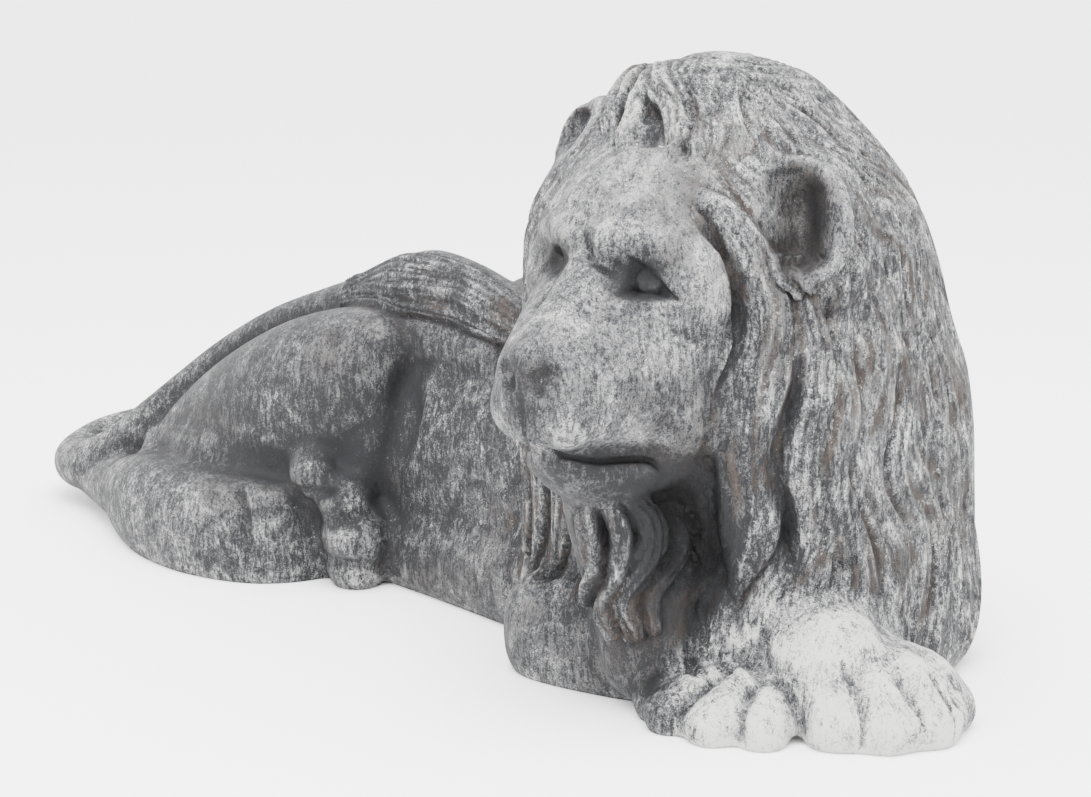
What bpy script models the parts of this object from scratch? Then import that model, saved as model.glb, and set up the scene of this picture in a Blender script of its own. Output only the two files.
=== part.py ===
"""A garden lion lying with crossed forepaws, cast in lead in one piece.

The lion is built as a sculptor builds one: big forms are lofted and fused, limbs and head are laid on and
fused again, the hair is combed and the last lines are pressed in. The lion's own forward is +X, its left is
+Y, up is +Z, and it turns its head to its right, towards -Y. Lengths are in metres and turns in degrees. At
the end the model stands on z = 0 with its origin below the middle of its box.
"""
from math import cos, pi, radians, sin

import bmesh
import bpy
import numpy as np
from mathutils import Euler, Matrix, Vector
from mathutils.bvhtree import BVHTree

NAME = "lion"

# Directions
ACROSS, ALONG, UP = (1, 0, 0), (0, 1, 0), (0, 0, 1)

# Grain of the clay at each stage, and the triangles kept in the finished solid
ROUGH_GRAIN = 0.012
FORM_GRAIN = 0.007
CARVING_GRAIN = 0.004
TRIANGLES = 9800
HEAD_CARE = 0.0004                  # how much dearer the head's triangles are when the solid is thinned

# The head's own axes start between the eyes, at HEAD_PLACE, and are turned a little from the lion's right
HEAD_PLACE = (0.283, -0.300, 0.432)
HEAD_TURN = 3.0
HEAD = Matrix.Translation(HEAD_PLACE) @ Euler((0, 0, radians(HEAD_TURN))).to_matrix().to_4x4()

# Sections of the big forms: x, y, z, half width, half height, and for the mane how square the section is
TRUNK = [(-0.740, -0.050, 0.015, 0.040, 0.030), (-0.700, -0.035, 0.025, 0.085, 0.045),
         (-0.640, -0.015, 0.050, 0.110, 0.062), (-0.575, 0.000, 0.090, 0.115, 0.085),
         (-0.500, 0.020, 0.110, 0.155, 0.105), (-0.400, 0.035, 0.125, 0.175, 0.135),
         (-0.280, 0.035, 0.140, 0.170, 0.168), (-0.150, 0.025, 0.155, 0.160, 0.180),
         (0.000, 0.020, 0.165, 0.165, 0.185), (0.150, 0.010, 0.175, 0.175, 0.190),
         (0.280, 0.000, 0.180, 0.150, 0.170)]
BELLY = [(-0.500, 0.020, 0.030, 0.140, 0.055), (-0.300, 0.030, 0.035, 0.165, 0.070),
         (-0.100, 0.010, 0.040, 0.160, 0.080), (0.100, 0.000, 0.045, 0.175, 0.085),
         (0.250, -0.010, 0.045, 0.180, 0.085)]
NECK = [(-0.10, 0.010, 0.220, 0.120, 0.130), (0.05, 0.010, 0.260, 0.130, 0.150),
        (0.20, -0.020, 0.330, 0.140, 0.170)]
MANE = [(0.255, -0.020, -0.020, 0.185, 0.175, 2.8), (0.255, -0.020, 0.010, 0.212, 0.195, 2.8),
        (0.255, -0.020, 0.060, 0.222, 0.205, 2.8), (0.250, -0.020, 0.150, 0.215, 0.202, 2.8),
        (0.262, -0.045, 0.280, 0.203, 0.212, 2.7), (0.259, -0.065, 0.390, 0.192, 0.210, 2.3),
        (0.260, -0.082, 0.455, 0.190, 0.198, 2.1), (0.267, -0.092, 0.512, 0.163, 0.174, 2.0),
        (0.273, -0.104, 0.564, 0.120, 0.130, 2.0), (0.275, -0.112, 0.606, 0.077, 0.084, 2.0),
        (0.275, -0.118, 0.627, 0.012, 0.012, 2.0)]
MANE_PARTING = (0.288, -0.185)      # the hair of the crown runs out from here
THIGH = [(-0.600, -0.120, 0.095, 0.020, 0.020), (-0.570, -0.118, 0.110, 0.045, 0.045),
         (-0.500, -0.118, 0.137, 0.065, 0.077), (-0.420, -0.121, 0.163, 0.079, 0.100),
         (-0.340, -0.124, 0.186, 0.083, 0.112), (-0.260, -0.122, 0.207, 0.078, 0.108),
         (-0.205, -0.118, 0.218, 0.064, 0.092), (-0.170, -0.116, 0.228, 0.040, 0.056),
         (-0.160, -0.116, 0.230, 0.010, 0.015)]
SHIN = [(-0.215, -0.115, 0.20, 0.055), (-0.225, -0.120, 0.15, 0.050), (-0.235, -0.130, 0.11, 0.042)]
HOCK = [(-0.56, -0.14, 0.090, 0.045), (-0.42, -0.160, 0.118, 0.055), (-0.31, -0.148, 0.125, 0.048)]
HIND_FOOT = [(-0.615, -0.175, 0.050, 0.012, 0.012), (-0.600, -0.182, 0.045, 0.035, 0.040),
             (-0.550, -0.194, 0.045, 0.050, 0.058), (-0.470, -0.213, 0.046, 0.058, 0.068),
             (-0.380, -0.218, 0.046, 0.062, 0.070), (-0.300, -0.202, 0.045, 0.058, 0.070),
             (-0.260, -0.180, 0.045, 0.045, 0.062), (-0.245, -0.170, 0.045, 0.010, 0.020)]
HIND_FOOT_CREASES = [[(-0.316, -0.237, 0.112), (-0.295, -0.247, 0.071), (-0.290, -0.250, 0.010)],
                     [(-0.262, -0.205, 0.112), (-0.244, -0.198, 0.060), (-0.232, -0.192, 0.028)]]
HIND_TOES = [(-0.247, -0.184, 0.132, 0.031), (-0.214, -0.168, 0.104, 0.034),
             (-0.205, -0.160, 0.062, 0.042), (-0.213, -0.152, 0.024, 0.038)]
UNDER_THIGH = [(-0.585, -0.160, 0.108), (-0.530, -0.180, 0.108), (-0.470, -0.195, 0.102),
               (-0.400, -0.200, 0.099), (-0.335, -0.195, 0.106), (-0.290, -0.182, 0.118)]
BESIDE_THIGH = [(-0.150, -0.125, 0.255), (-0.145, -0.140, 0.205), (-0.160, -0.150, 0.150),
                (-0.175, -0.150, 0.110)]
BETWEEN_HIND_TOES = [[(-0.262, -0.208, 0.116), (-0.225, -0.208, 0.114), (-0.192, -0.182, 0.118)],
                     [(-0.248, -0.206, 0.086), (-0.205, -0.206, 0.083), (-0.168, -0.180, 0.086)],
                     [(-0.250, -0.196, 0.036), (-0.210, -0.202, 0.034), (-0.168, -0.180, 0.036)]]
HIND_PAW, HIND_PAW_SIZE = (-0.245, -0.130, 0.075), (0.050, 0.042, 0.065)
FORELEG = [(0.106, -0.215, 0.042, 0.015, 0.020), (0.112, -0.212, 0.042, 0.036, 0.048),
           (0.150, -0.208, 0.042, 0.056, 0.064), (0.220, -0.200, 0.045, 0.058, 0.066),
           (0.290, -0.188, 0.052, 0.054, 0.062), (0.350, -0.165, 0.066, 0.050, 0.052),
           (0.410, -0.130, 0.068, 0.050, 0.050)]

# The upper forepaw: its wrist, the way it points, its back and the end and radius of each toe
PAW_ROOT, PAW_AIM = (0.400, -0.122), -22.0
PAW = [(-0.07, -0.014, 0.072, 0.050, 0.050), (-0.03, -0.008, 0.070, 0.058, 0.055),
       (0.02, 0.000, 0.060, 0.064, 0.056), (0.06, 0.004, 0.046, 0.070, 0.050),
       (0.09, 0.008, 0.035, 0.070, 0.040), (0.11, 0.015, 0.025, 0.050, 0.025)]
PAW_BACK, PAW_BACK_SIZE = (0.438, -0.150, 0.060), (0.068, 0.056, 0.060)
PAW_TOES = [(0.482, -0.187, 0.032), (0.519, -0.160, 0.033), (0.540, -0.121, 0.033), (0.532, -0.078, 0.029)]
PAW_CREASES = [[(0.492, -0.183, 0.065), (0.514, -0.190, 0.036), (0.520, -0.198, 0.003)],
               [(0.531, -0.152, 0.055), (0.545, -0.151, 0.043), (0.560, -0.153, 0.020)],
               [(0.537, -0.120, 0.064), (0.554, -0.120, 0.048), (0.572, -0.120, 0.004)]]
# The lower forepaw: where each toe starts and ends, and its radius
LOWER_TOES = [((0.346, -0.196), (0.318, -0.248), 0.024), ((0.376, -0.200), (0.346, -0.262), 0.027),
              ((0.402, -0.195), (0.393, -0.258), 0.028), ((0.426, -0.185), (0.433, -0.234), 0.029)]
LOWER_LEG = [(0.42, 0.02, 0.045, 0.050), (0.41, -0.08, 0.045, 0.050), (0.395, -0.16, 0.030, 0.045)]
LOWER_CREASES = [
    [(0.330, -0.215, 0.056), (0.327, -0.245, 0.048), (0.318, -0.261, 0.030), (0.308, -0.262, 0.012)],
    [(0.388, -0.212, 0.060), (0.382, -0.240, 0.050), (0.373, -0.264, 0.034), (0.362, -0.286, 0.002)],
    [(0.420, -0.212, 0.060), (0.421, -0.236, 0.046), (0.424, -0.250, 0.034), (0.428, -0.262, 0.002)]]
BETWEEN_PAWS = [(0.385, -0.204, 0.072), (0.425, -0.212, 0.060), (0.446, -0.214, 0.052),
                (0.458, -0.216, 0.036), (0.464, -0.218, 0.002)]

# The tail comes from the far side of the rump, turns back and lies along the back: x, y, z, radius
TAIL = [(-0.560, 0.100, 0.075, 0.045), (-0.660, 0.070, 0.070, 0.040), (-0.745, 0.005, 0.068, 0.036),
        (-0.782, -0.075, 0.060, 0.034), (-0.762, -0.145, 0.050, 0.033), (-0.705, -0.165, 0.055, 0.034),
        (-0.655, -0.150, 0.082, 0.034), (-0.615, -0.125, 0.124, 0.030), (-0.575, -0.098, 0.166, 0.028),
        (-0.520, -0.078, 0.212, 0.026), (-0.440, -0.066, 0.258, 0.025), (-0.360, -0.060, 0.289, 0.025),
        (-0.290, -0.060, 0.311, 0.027)]
TAIL_ON_GROUND = [(-0.705, -0.157, 0.045, 0.034), (-0.655, -0.170, 0.042, 0.036),
                  (-0.600, -0.182, 0.045, 0.044)]
TUFT = [(-0.32, -0.058, 0.302, 0.024, 0.020), (-0.26, -0.060, 0.317, 0.040, 0.032),
        (-0.19, -0.062, 0.335, 0.046, 0.042), (-0.12, -0.066, 0.334, 0.042, 0.038),
        (-0.05, -0.075, 0.325, 0.036, 0.030), (0.02, -0.085, 0.315, 0.028, 0.020)]
UNDER_TUFT = [(-0.26, -0.070, 0.282, 0.034), (-0.19, -0.074, 0.288, 0.042), (-0.12, -0.078, 0.284, 0.042),
              (-0.05, -0.090, 0.275, 0.035)]
TUFT_LOCKS, TUFT_SPREAD = 4, 0.018

# The head's own forms, in its own axes: +X is towards the near cheek, -Y towards the nose
FACE = [(0, -0.105, -0.100, 0.010, 0.014), (0, -0.101, -0.099, 0.028, 0.034),
        (0, -0.090, -0.096, 0.045, 0.047), (0, -0.070, -0.093, 0.059, 0.056),
        (0, -0.040, -0.088, 0.075, 0.068), (0, 0.000, -0.079, 0.094, 0.086),
        (0, 0.035, -0.070, 0.107, 0.094), (0, 0.075, -0.062, 0.114, 0.097),
        (0, 0.120, -0.050, 0.112, 0.100)]
BRIDGE = [(0, 0.030, 0.024, 0.032, 0.026), (0, 0.000, -0.003, 0.028, 0.028),
          (0, -0.035, -0.034, 0.026, 0.028), (0, -0.066, -0.058, 0.028, 0.026),
          (0, -0.082, -0.072, 0.026, 0.018), (0, -0.088, -0.077, 0.018, 0.012)]
JAW = [(0, -0.080, -0.156, 0.006, 0.006), (0, -0.073, -0.160, 0.018, 0.013),
       (0, -0.056, -0.168, 0.029, 0.024), (0, -0.030, -0.176, 0.040, 0.031),
       (0, 0.000, -0.176, 0.054, 0.038), (0, 0.050, -0.160, 0.085, 0.050)]
BROW = [(0.014, 0.004, 0.036, 0.015), (0.030, 0.008, 0.036, 0.020), (0.052, 0.020, 0.036, 0.022),
        (0.074, 0.036, 0.024, 0.021), (0.090, 0.052, 0.002, 0.018)]
# The mass of the beard, from under the chin to the chest: x, y, z, radius
THROAT = [(0.280, -0.292, 0.228, 0.036), (0.278, -0.268, 0.198, 0.046), (0.280, -0.240, 0.155, 0.056),
          (0.285, -0.225, 0.100, 0.056), (0.290, -0.222, 0.050, 0.050)]
MOUTH = [(0, -0.100, -0.135), (0.016, -0.078, -0.149), (0.032, -0.045, -0.161),
         (0.044, -0.018, -0.163), (0.056, 0.004, -0.165), (0.064, 0.016, -0.175)]
NOSTRIL = [(0.036, -0.092, -0.076), (0.026, -0.097, -0.073), (0.017, -0.102, -0.080), (0.016, -0.103, -0.094)]
FROWN = [(0.026, 0.030, 0.088), (0.012, 0.016, 0.070), (0.000, 0.000, 0.052), (-0.010, -0.008, 0.038)]
BROW_FOLD = [(-0.008, -0.009, 0.039), (0.003, -0.014, 0.022), (0.012, -0.018, 0.013), (0.031, -0.007, 0.003)]
BRIDGE_EDGE = [(-0.030, -0.012, 0.008), (-0.033, -0.030, -0.016), (-0.034, -0.070, -0.056)]
# Each eye, seen from the front: its upper, inner and outer corners and how much higher it sits
NEAR_EYE = ((0.037, 0.021), (0.033, -0.012), (0.087, -0.015), 0)
FAR_EYE = ((0.044, 0.016), (0.043, -0.008), (0.068, -0.010), 0.005)
EYEBALL, EYEBALL_RADIUS, EYE_DEPTH = (0.054, -0.003), 0.013, 0.010
# Each ear: its middle, the half width and half height of its rim, the rim's radius and side
NEAR_EAR = ((0.144, 0.115, 0.049), (0.033, 0.050), 0.0105, 1)
FAR_EAR = ((-0.102, 0.118, 0.110), (0.022, 0.030), 0.010, -1)
EAR_LEAN = 0.27                     # how much the top of an ear leans back and inwards

# Locks of hair: places from root to tip with the lock's width, then how far it stands out and its strands
CHEEK_LOCKS = [
    ([(0.452, -0.140, 0.400, 0.030), (0.450, -0.150, 0.350, 0.042), (0.452, -0.146, 0.300, 0.046),
      (0.446, -0.157, 0.250, 0.044), (0.446, -0.147, 0.200, 0.040), (0.448, -0.130, 0.160, 0.024)], 0.006, 2),
    ([(0.426, -0.182, 0.420, 0.030), (0.434, -0.173, 0.365, 0.042), (0.438, -0.176, 0.319, 0.050),
      (0.429, -0.184, 0.244, 0.044), (0.430, -0.168, 0.177, 0.034), (0.424, -0.170, 0.150, 0.012)], 0.008, 2),
    ([(0.352, -0.246, 0.508, 0.018), (0.372, -0.232, 0.494, 0.028), (0.390, -0.222, 0.467, 0.038),
      (0.404, -0.214, 0.434, 0.044), (0.411, -0.208, 0.395, 0.052), (0.406, -0.218, 0.350, 0.072),
      (0.403, -0.222, 0.312, 0.078), (0.400, -0.221, 0.270, 0.064), (0.399, -0.212, 0.232, 0.064),
      (0.392, -0.204, 0.192, 0.066), (0.382, -0.202, 0.158, 0.044), (0.377, -0.203, 0.124, 0.012)], 0.012, 3)]
# What the longest of them lies on, from the temple to the paw: x, y, z, radius
CHEEK_MASS = [(0.352, -0.232, 0.484, 0.014), (0.368, -0.214, 0.464, 0.020), (0.380, -0.202, 0.428, 0.024),
              (0.390, -0.188, 0.385, 0.026), (0.386, -0.197, 0.338, 0.028), (0.383, -0.201, 0.305, 0.028),
              (0.380, -0.200, 0.263, 0.027), (0.379, -0.191, 0.226, 0.027), (0.376, -0.183, 0.185, 0.027),
              (0.378, -0.178, 0.150, 0.026), (0.392, -0.170, 0.110, 0.022)]
BEARD_LOCKS = [
    ([(0.324, -0.233, 0.208, 0.020), (0.330, -0.230, 0.183, 0.026), (0.330, -0.255, 0.149, 0.030),
      (0.322, -0.269, 0.113, 0.026), (0.327, -0.261, 0.088, 0.014)], 0.010, 2),
    ([(0.318, -0.285, 0.224, 0.028), (0.322, -0.266, 0.194, 0.036), (0.316, -0.277, 0.152, 0.036),
      (0.303, -0.280, 0.110, 0.034), (0.312, -0.271, 0.080, 0.018)], 0.011, 2),
    ([(0.309, -0.312, 0.222, 0.018), (0.312, -0.300, 0.198, 0.026), (0.298, -0.293, 0.150, 0.030),
      (0.283, -0.283, 0.108, 0.028), (0.293, -0.277, 0.080, 0.016)], 0.014, 2),
    ([(0.290, -0.325, 0.221, 0.018), (0.287, -0.315, 0.195, 0.024), (0.282, -0.297, 0.148, 0.024),
      (0.264, -0.287, 0.126, 0.020), (0.250, -0.280, 0.104, 0.010)], 0.011, 2)]
BESIDE_BEARD = [(0.350, -0.255, 0.190), (0.345, -0.235, 0.150)]      # a hollow between beard and cheek locks
# On the far side of the chest: the top and foot of each lock, and its place
SHOULDER_LOCKS = [(0.185, 0.150, -0.232, 0.245), (0.150, 0.112, -0.212, 0.255), (0.120, 0.075, -0.190, 0.270)]
# Tufts combed forward over the forehead, in the head's own axes
FORELOCK = [
    ([(0.036, 0.155, 0.168, 0.030), (0.058, 0.110, 0.152, 0.036), (0.082, 0.095, 0.118, 0.028),
      (0.086, 0.084, 0.098, 0.014)], 0.006, 2),
    ([(0.022, 0.155, 0.174, 0.030), (0.040, 0.104, 0.157, 0.036), (0.066, 0.086, 0.124, 0.028),
      (0.071, 0.074, 0.100, 0.014)], 0.007, 2),
    ([(0.004, 0.145, 0.177, 0.032), (0.021, 0.102, 0.162, 0.038), (0.052, 0.083, 0.133, 0.030),
      (0.061, 0.063, 0.096, 0.012)], 0.009, 2),
    ([(-0.058, 0.155, 0.172, 0.028), (-0.058, 0.120, 0.162, 0.036), (-0.044, 0.081, 0.134, 0.028),
      (-0.033, 0.061, 0.113, 0.014)], 0.011, 2),
    ([(-0.018, 0.135, 0.176, 0.028), (-0.021, 0.105, 0.166, 0.032), (-0.018, 0.075, 0.136, 0.026),
      (0.000, 0.042, 0.100, 0.012)], 0.011, 2),
    ([(-0.020, 0.130, 0.176, 0.030), (0.010, 0.094, 0.160, 0.038), (0.034, 0.077, 0.134, 0.030),
      (0.040, 0.054, 0.100, 0.012)], 0.012, 2)]
# Creases that are sunk into the hair: places, half width and depth
HAIR_CREASES = [
    ([(0.431, -0.184, 0.365), (0.431, -0.186, 0.338), (0.427, -0.198, 0.307), (0.421, -0.204, 0.274),
      (0.418, -0.201, 0.244), (0.421, -0.189, 0.212), (0.421, -0.181, 0.183), (0.408, -0.186, 0.147)],
     0.014, 0.015),
    ([(0.359, -0.253, 0.489), (0.373, -0.244, 0.470), (0.383, -0.238, 0.457), (0.390, -0.233, 0.440),
      (0.394, -0.231, 0.412), (0.394, -0.229, 0.381), (0.391, -0.240, 0.355), (0.389, -0.250, 0.333),
      (0.389, -0.255, 0.312), (0.382, -0.248, 0.284)], 0.010, 0.012),
    ([(0.304, -0.317, 0.220), (0.303, -0.307, 0.196), (0.292, -0.294, 0.150), (0.276, -0.289, 0.129),
      (0.272, -0.274, 0.082)], 0.012, 0.012)]
QUIFF_CREASES = [
    ([(-0.036, 0.112, 0.164), (-0.032, 0.090, 0.150), (-0.026, 0.064, 0.119)], 0.011, 0.012),
    ([(0.000, 0.084, 0.149), (0.007, 0.074, 0.136), (0.016, 0.054, 0.111)], 0.014, 0.011)]

# The mane's wavy ridges: how many go round, how far and how often they sway, their start and share of depth
RIDGE_SETS = [(32, 0.014, 0.19, 0.4, 1.0), (23, 0.022, 0.27, 2.3, 0.92)]
RIDGE_DEPTH = 0.012
STRAND_CUT = 0.25                   # the depth of the cuts between a lock's strands, as a share of its rise

LEAD = {"colour": (0.23, 0.23, 0.235), "roughness": 0.72, "metallic": 0.25}


def smooth_curve(points, count):
    """Places along one smooth curve through the points, with every further column carried along."""
    p = np.array(points, float)
    p = np.vstack([2*p[0] - p[1], p, 2*p[-1] - p[-2]])
    t = np.linspace(0, len(p) - 3, count)
    i = np.minimum(t.astype(int), len(p) - 4)
    u = (t - i)[:, None]
    a, b, c, d = p[i], p[i+1], p[i+2], p[i+3]
    return 0.5*(2*b + (c - a)*u + (2*a - 5*b + 4*c - d)*u**2 + (3*b - a - 3*c + d)*u**3)


# ---------------------------------------------------------------- laying on clay

def add_bit(clay, bit, pose=None):
    """Adds a finished bit of clay, which is small, to the whole."""
    if pose is not None:
        bmesh.ops.transform(bit, matrix=pose, verts=bit.verts)
    mesh = bpy.data.meshes.new("bit")
    bit.to_mesh(mesh)
    bit.free()
    clay.from_mesh(mesh)
    bpy.data.meshes.remove(mesh)


def add_ball(clay, centre, radii, turn=(0, 0, 0), square=2.0, pose=None):
    """An ellipsoid, squarer where square is over 2."""
    bit = bmesh.new()
    bmesh.ops.create_icosphere(bit, subdivisions=4, radius=1)
    for v in bit.verts:
        v.co /= sum(abs(c)**square for c in v.co)**(1/square)
    spin = Euler([radians(a) for a in turn])
    bmesh.ops.transform(bit, matrix=Matrix.LocRotScale(Vector(centre), spin, Vector(radii)), verts=bit.verts)
    add_bit(clay, bit, pose)


def add_roll(clay, stations, count=18, pose=None):
    """A roll of clay along a curve: a string of balls at x, y, z with a radius."""
    bit = bmesh.new()
    for x, y, z, r in smooth_curve(stations, count):
        bmesh.ops.create_icosphere(bit, subdivisions=3, radius=r, matrix=Matrix.Translation((x, y, z)))
    add_bit(clay, bit, pose)


def add_loft(clay, stations, across, up, square=2.0, rings=24, sides=40, pose=None):
    """A closed form through rounded sections that lie in the plane of across and up."""
    across, up = np.array(across, float), np.array(up, float)
    angle = np.linspace(0, 2*pi, sides, endpoint=False)
    rows = [list(s) + [square]*(6 - len(s)) for s in stations]
    bit = bmesh.new()
    loops = []
    for x, y, z, half_width, half_height, n in smooth_curve(rows, rings):
        c = np.sign(np.cos(angle))*np.abs(np.cos(angle))**(2/n)*max(half_width, 1e-4)
        s = np.sign(np.sin(angle))*np.abs(np.sin(angle))**(2/n)*max(half_height, 1e-4)
        ring = np.array((x, y, z)) + c[:, None]*across + s[:, None]*up
        loops.append([bit.verts.new(p) for p in ring])
    for low, high in zip(loops, loops[1:]):
        for k in range(sides):
            m = (k + 1) % sides
            bit.faces.new((low[k], low[m], high[m], high[k]))
    bit.faces.new(loops[0][::-1])
    bit.faces.new(loops[-1])
    bmesh.ops.recalc_face_normals(bit, faces=bit.faces)
    add_bit(clay, bit, pose)


def fuse(clay, grain, smoothing):
    """Makes one skin of all the clay, at a grain, and smooths it; the clay is used up."""
    mesh = bpy.data.meshes.new("clay")
    clay.to_mesh(mesh)
    clay.free()
    body = bpy.data.objects.new("clay", mesh)
    bpy.context.scene.collection.objects.link(body)
    remesh = body.modifiers.new("one skin", "REMESH")
    remesh.mode = "VOXEL"
    remesh.voxel_size = grain
    smooth = body.modifiers.new("smooth", "SMOOTH")
    smooth.factor = 0.5
    smooth.iterations = smoothing
    skin = bpy.data.meshes.new_from_object(body.evaluated_get(bpy.context.evaluated_depsgraph_get()))
    bpy.data.objects.remove(body)
    bpy.data.meshes.remove(mesh)
    return skin


# ---------------------------------------------------------------- pressing and combing

def skin_arrays(mesh):
    """The mesh's points and their outward directions."""
    count = len(mesh.vertices)
    points, out = np.empty(count*3, np.float32), np.empty(count*3, np.float32)
    mesh.vertices.foreach_get("co", points)
    mesh.vertex_normals.foreach_get("vector", out)
    return points.reshape(-1, 3).astype(float), out.reshape(-1, 3).astype(float)


def set_points(mesh, points):
    """Moves the mesh's points."""
    mesh.vertices.foreach_set("co", points.astype(np.float32).ravel())
    mesh.update()


def near_curve(points, curve, reach):
    """The points within reach of a line: numbers, distances, shares of its length, feet and its way there."""
    close = np.flatnonzero(((points > curve.min(0) - reach) & (points < curve.max(0) + reach)).all(1))
    p = points[close]
    steps = np.diff(curve, axis=0)
    lengths = np.maximum(np.linalg.norm(steps, axis=1), 1e-9)
    starts = np.concatenate([[0], np.cumsum(lengths)])
    nearest = np.full(len(p), np.inf)
    share, foot, ahead = np.zeros(len(p)), np.zeros((len(p), 3)), np.zeros((len(p), 3))
    for a, step, length, start in zip(curve, steps, lengths, starts):
        t = np.clip((p - a) @ step/length**2, 0, 1)
        place = a + t[:, None]*step
        distance = np.linalg.norm(p - place, axis=1)
        closer = distance < nearest
        nearest[closer] = distance[closer]
        share[closer] = (start + t[closer]*length)/starts[-1]
        foot[closer] = place[closer]
        ahead[closer] = step/length
    held = nearest < reach
    return close[held], nearest[held], share[held], foot[held], ahead[held]


def press(mesh, path, width, height, direction=None, pose=None, taper=0.0):
    """Raises the skin along a curve, or presses it in where height is negative, with soft edges."""
    curve = smooth_curve(path, 14) if len(path) > 2 else np.array(path, float)
    if pose is not None:
        curve = np.array([pose @ Vector(p) for p in curve])
        direction = direction and pose.to_3x3() @ Vector(direction)
    points, out = skin_arrays(mesh)
    index, distance, share, _, _ = near_curve(points, curve, width)
    lift = height*(1 - (distance/width)**2)**2
    if taper:
        lift *= np.clip(np.minimum(share, 1 - share)/taper, 0, 1)
    way = out[index] if direction is None else np.array(direction, float)
    points[index] += lift[:, None]*way
    set_points(mesh, points)


def soft_step(x):
    """Goes smoothly from 0 to 1 as x does."""
    x = np.clip(x, 0, 1)
    return x*x*(3 - 2*x)


def ridges(turn, down, radius, count, sway, length, start):
    """Wavy ridges that run down the mane, from 0 in a groove to 1 on a crest."""
    bend = sway*np.sin(2*pi*down/length + start + 1.3*np.sin(2*turn + start) + 0.8*np.sin(5*turn - start))
    uneven = 0.12*np.sin(3*turn + 2*start) + 0.04*np.sin(7*turn - start)
    place = (turn + bend/radius + uneven)*count/(2*pi) + start
    across = np.abs(2*(place - np.floor(place)) - 1)
    return np.sqrt(np.clip(1 - across**2, 0, 1))


def bare_face(x, y, z):
    """How far each place in the head's own axes belongs to the face or an ear, where no mane grows."""
    bare = soft_step(6*(1.15 - np.hypot(x/0.112, (z + 0.045)/0.175)))*soft_step((0.095 - y)/0.03)
    for (ex, ey, ez), (wide, high), *_ in (NEAR_EAR, FAR_EAR):
        wide, high = wide + 0.010, high + 0.010
        reach = np.sqrt(((x - ex)/wide)**2 + ((y - ey)/0.042)**2 + ((z - ez)/high)**2)
        bare = np.maximum(bare, soft_step(8*(1.12 - reach)))
    return bare


def comb_mane(points):
    """The height of the mane's wavy ridges at each point, none on the face, the ears, a paw and the body."""
    rows = smooth_curve(MANE, 200)
    z = np.clip(points[:, 2], rows[0, 2], rows[-1, 2] - 0.002)
    cx, cy, rx, ry, n = (np.interp(z, rows[:, 2], rows[:, k]) for k in (0, 1, 3, 4, 5))
    dx, dy = points[:, 0] - cx, points[:, 1] - cy
    from_mane = np.abs((np.abs(dx/rx)**n + np.abs(dy/ry)**n)**(1/n) - 1)
    crown = soft_step((points[:, 2] - 0.42)/0.20)
    ax = points[:, 0] - (cx*(1 - crown) + MANE_PARTING[0]*crown)
    ay = points[:, 1] - (cy*(1 - crown) + MANE_PARTING[1]*crown)
    turn, radius = np.arctan2(ax, -ay), np.maximum(np.hypot(ax, ay), 0.05)
    down = rows[-1, 2] - points[:, 2] + np.hypot(dx, dy)

    on_head = (points - np.array(HEAD.translation)) @ np.array(HEAD.to_3x3())
    (px, py, pz), (long, wide, high) = PAW_BACK, PAW_BACK_SIZE
    from_paw = np.sqrt(((points[:, 0] - px)/(long + 0.03))**2 + ((points[:, 1] - py - 0.01)/(wide + 0.02))**2
                       + ((points[:, 2] - pz)/high)**2)
    comb = np.clip((0.16 - from_mane)/0.06, 0, 1)*np.clip(points[:, 2]/0.03, 0, 1)
    comb *= (1 - bare_face(*on_head.T))*(1 - soft_step(8*(1.12 - from_paw)))
    height = np.max([share*ridges(turn, down, radius, *waves) for *waves, share in RIDGE_SETS], axis=0)
    return comb*RIDGE_DEPTH*(height - 0.8)


def raise_lock(points, out, relief, ground, path, rise, strands, pose):
    """Writes a lock of hair into the relief, over what is there: rounded, with cuts between its strands."""
    rows = smooth_curve([(*(pose @ Vector(place)), width) for *place, width in path], 40)
    rows[:, :3] = [ground.find_nearest(Vector(row[:3]))[0] for row in rows]
    for _ in range(3):
        rows[1:-1] = (rows[:-2] + 2*rows[1:-1] + rows[2:])/4
    index, _, share, foot, ahead = near_curve(points, rows[:, :3], rows[:, 3].max()*0.75)
    side = np.cross(ahead, out[index])
    side /= np.maximum(np.linalg.norm(side, axis=1), 1e-9)[:, None]
    offset = points[index] - foot
    half = np.interp(share, np.linspace(0, 1, len(rows)), rows[:, 3])/2
    across = (offset*side).sum(1)/half
    end = np.clip(1 - ((offset*ahead).sum(1)/half)**2, 0, 1)*soft_step(share*6 + 0.25)
    body = soft_step((1.04 - np.abs(across))/0.16)*end
    top = np.clip(1 - 0.9*across**2, 0, 1)**0.6
    cut = (0.5 + 0.5*np.cos(pi*strands*(across + 1)))**1.5*np.clip(2.2 - 2*np.abs(across), 0, 1)
    relief[index] = relief[index]*(1 - body) + rise*(top - STRAND_CUT*cut)*body
    relief[index] -= 0.32*rise*np.exp(-((np.abs(across) - 1.16)/0.15)**2)*end


def sink(points, relief, path, width, depth):
    """Sinks a crease into the relief, tapered at both ends."""
    index, distance, share, _, _ = near_curve(points, smooth_curve(path, 24), width)
    relief[index] -= depth*(1 - (distance/width)**2)**2*np.clip(np.minimum(share, 1 - share)*5, 0, 1)


# ---------------------------------------------------------------- the lion

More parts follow.
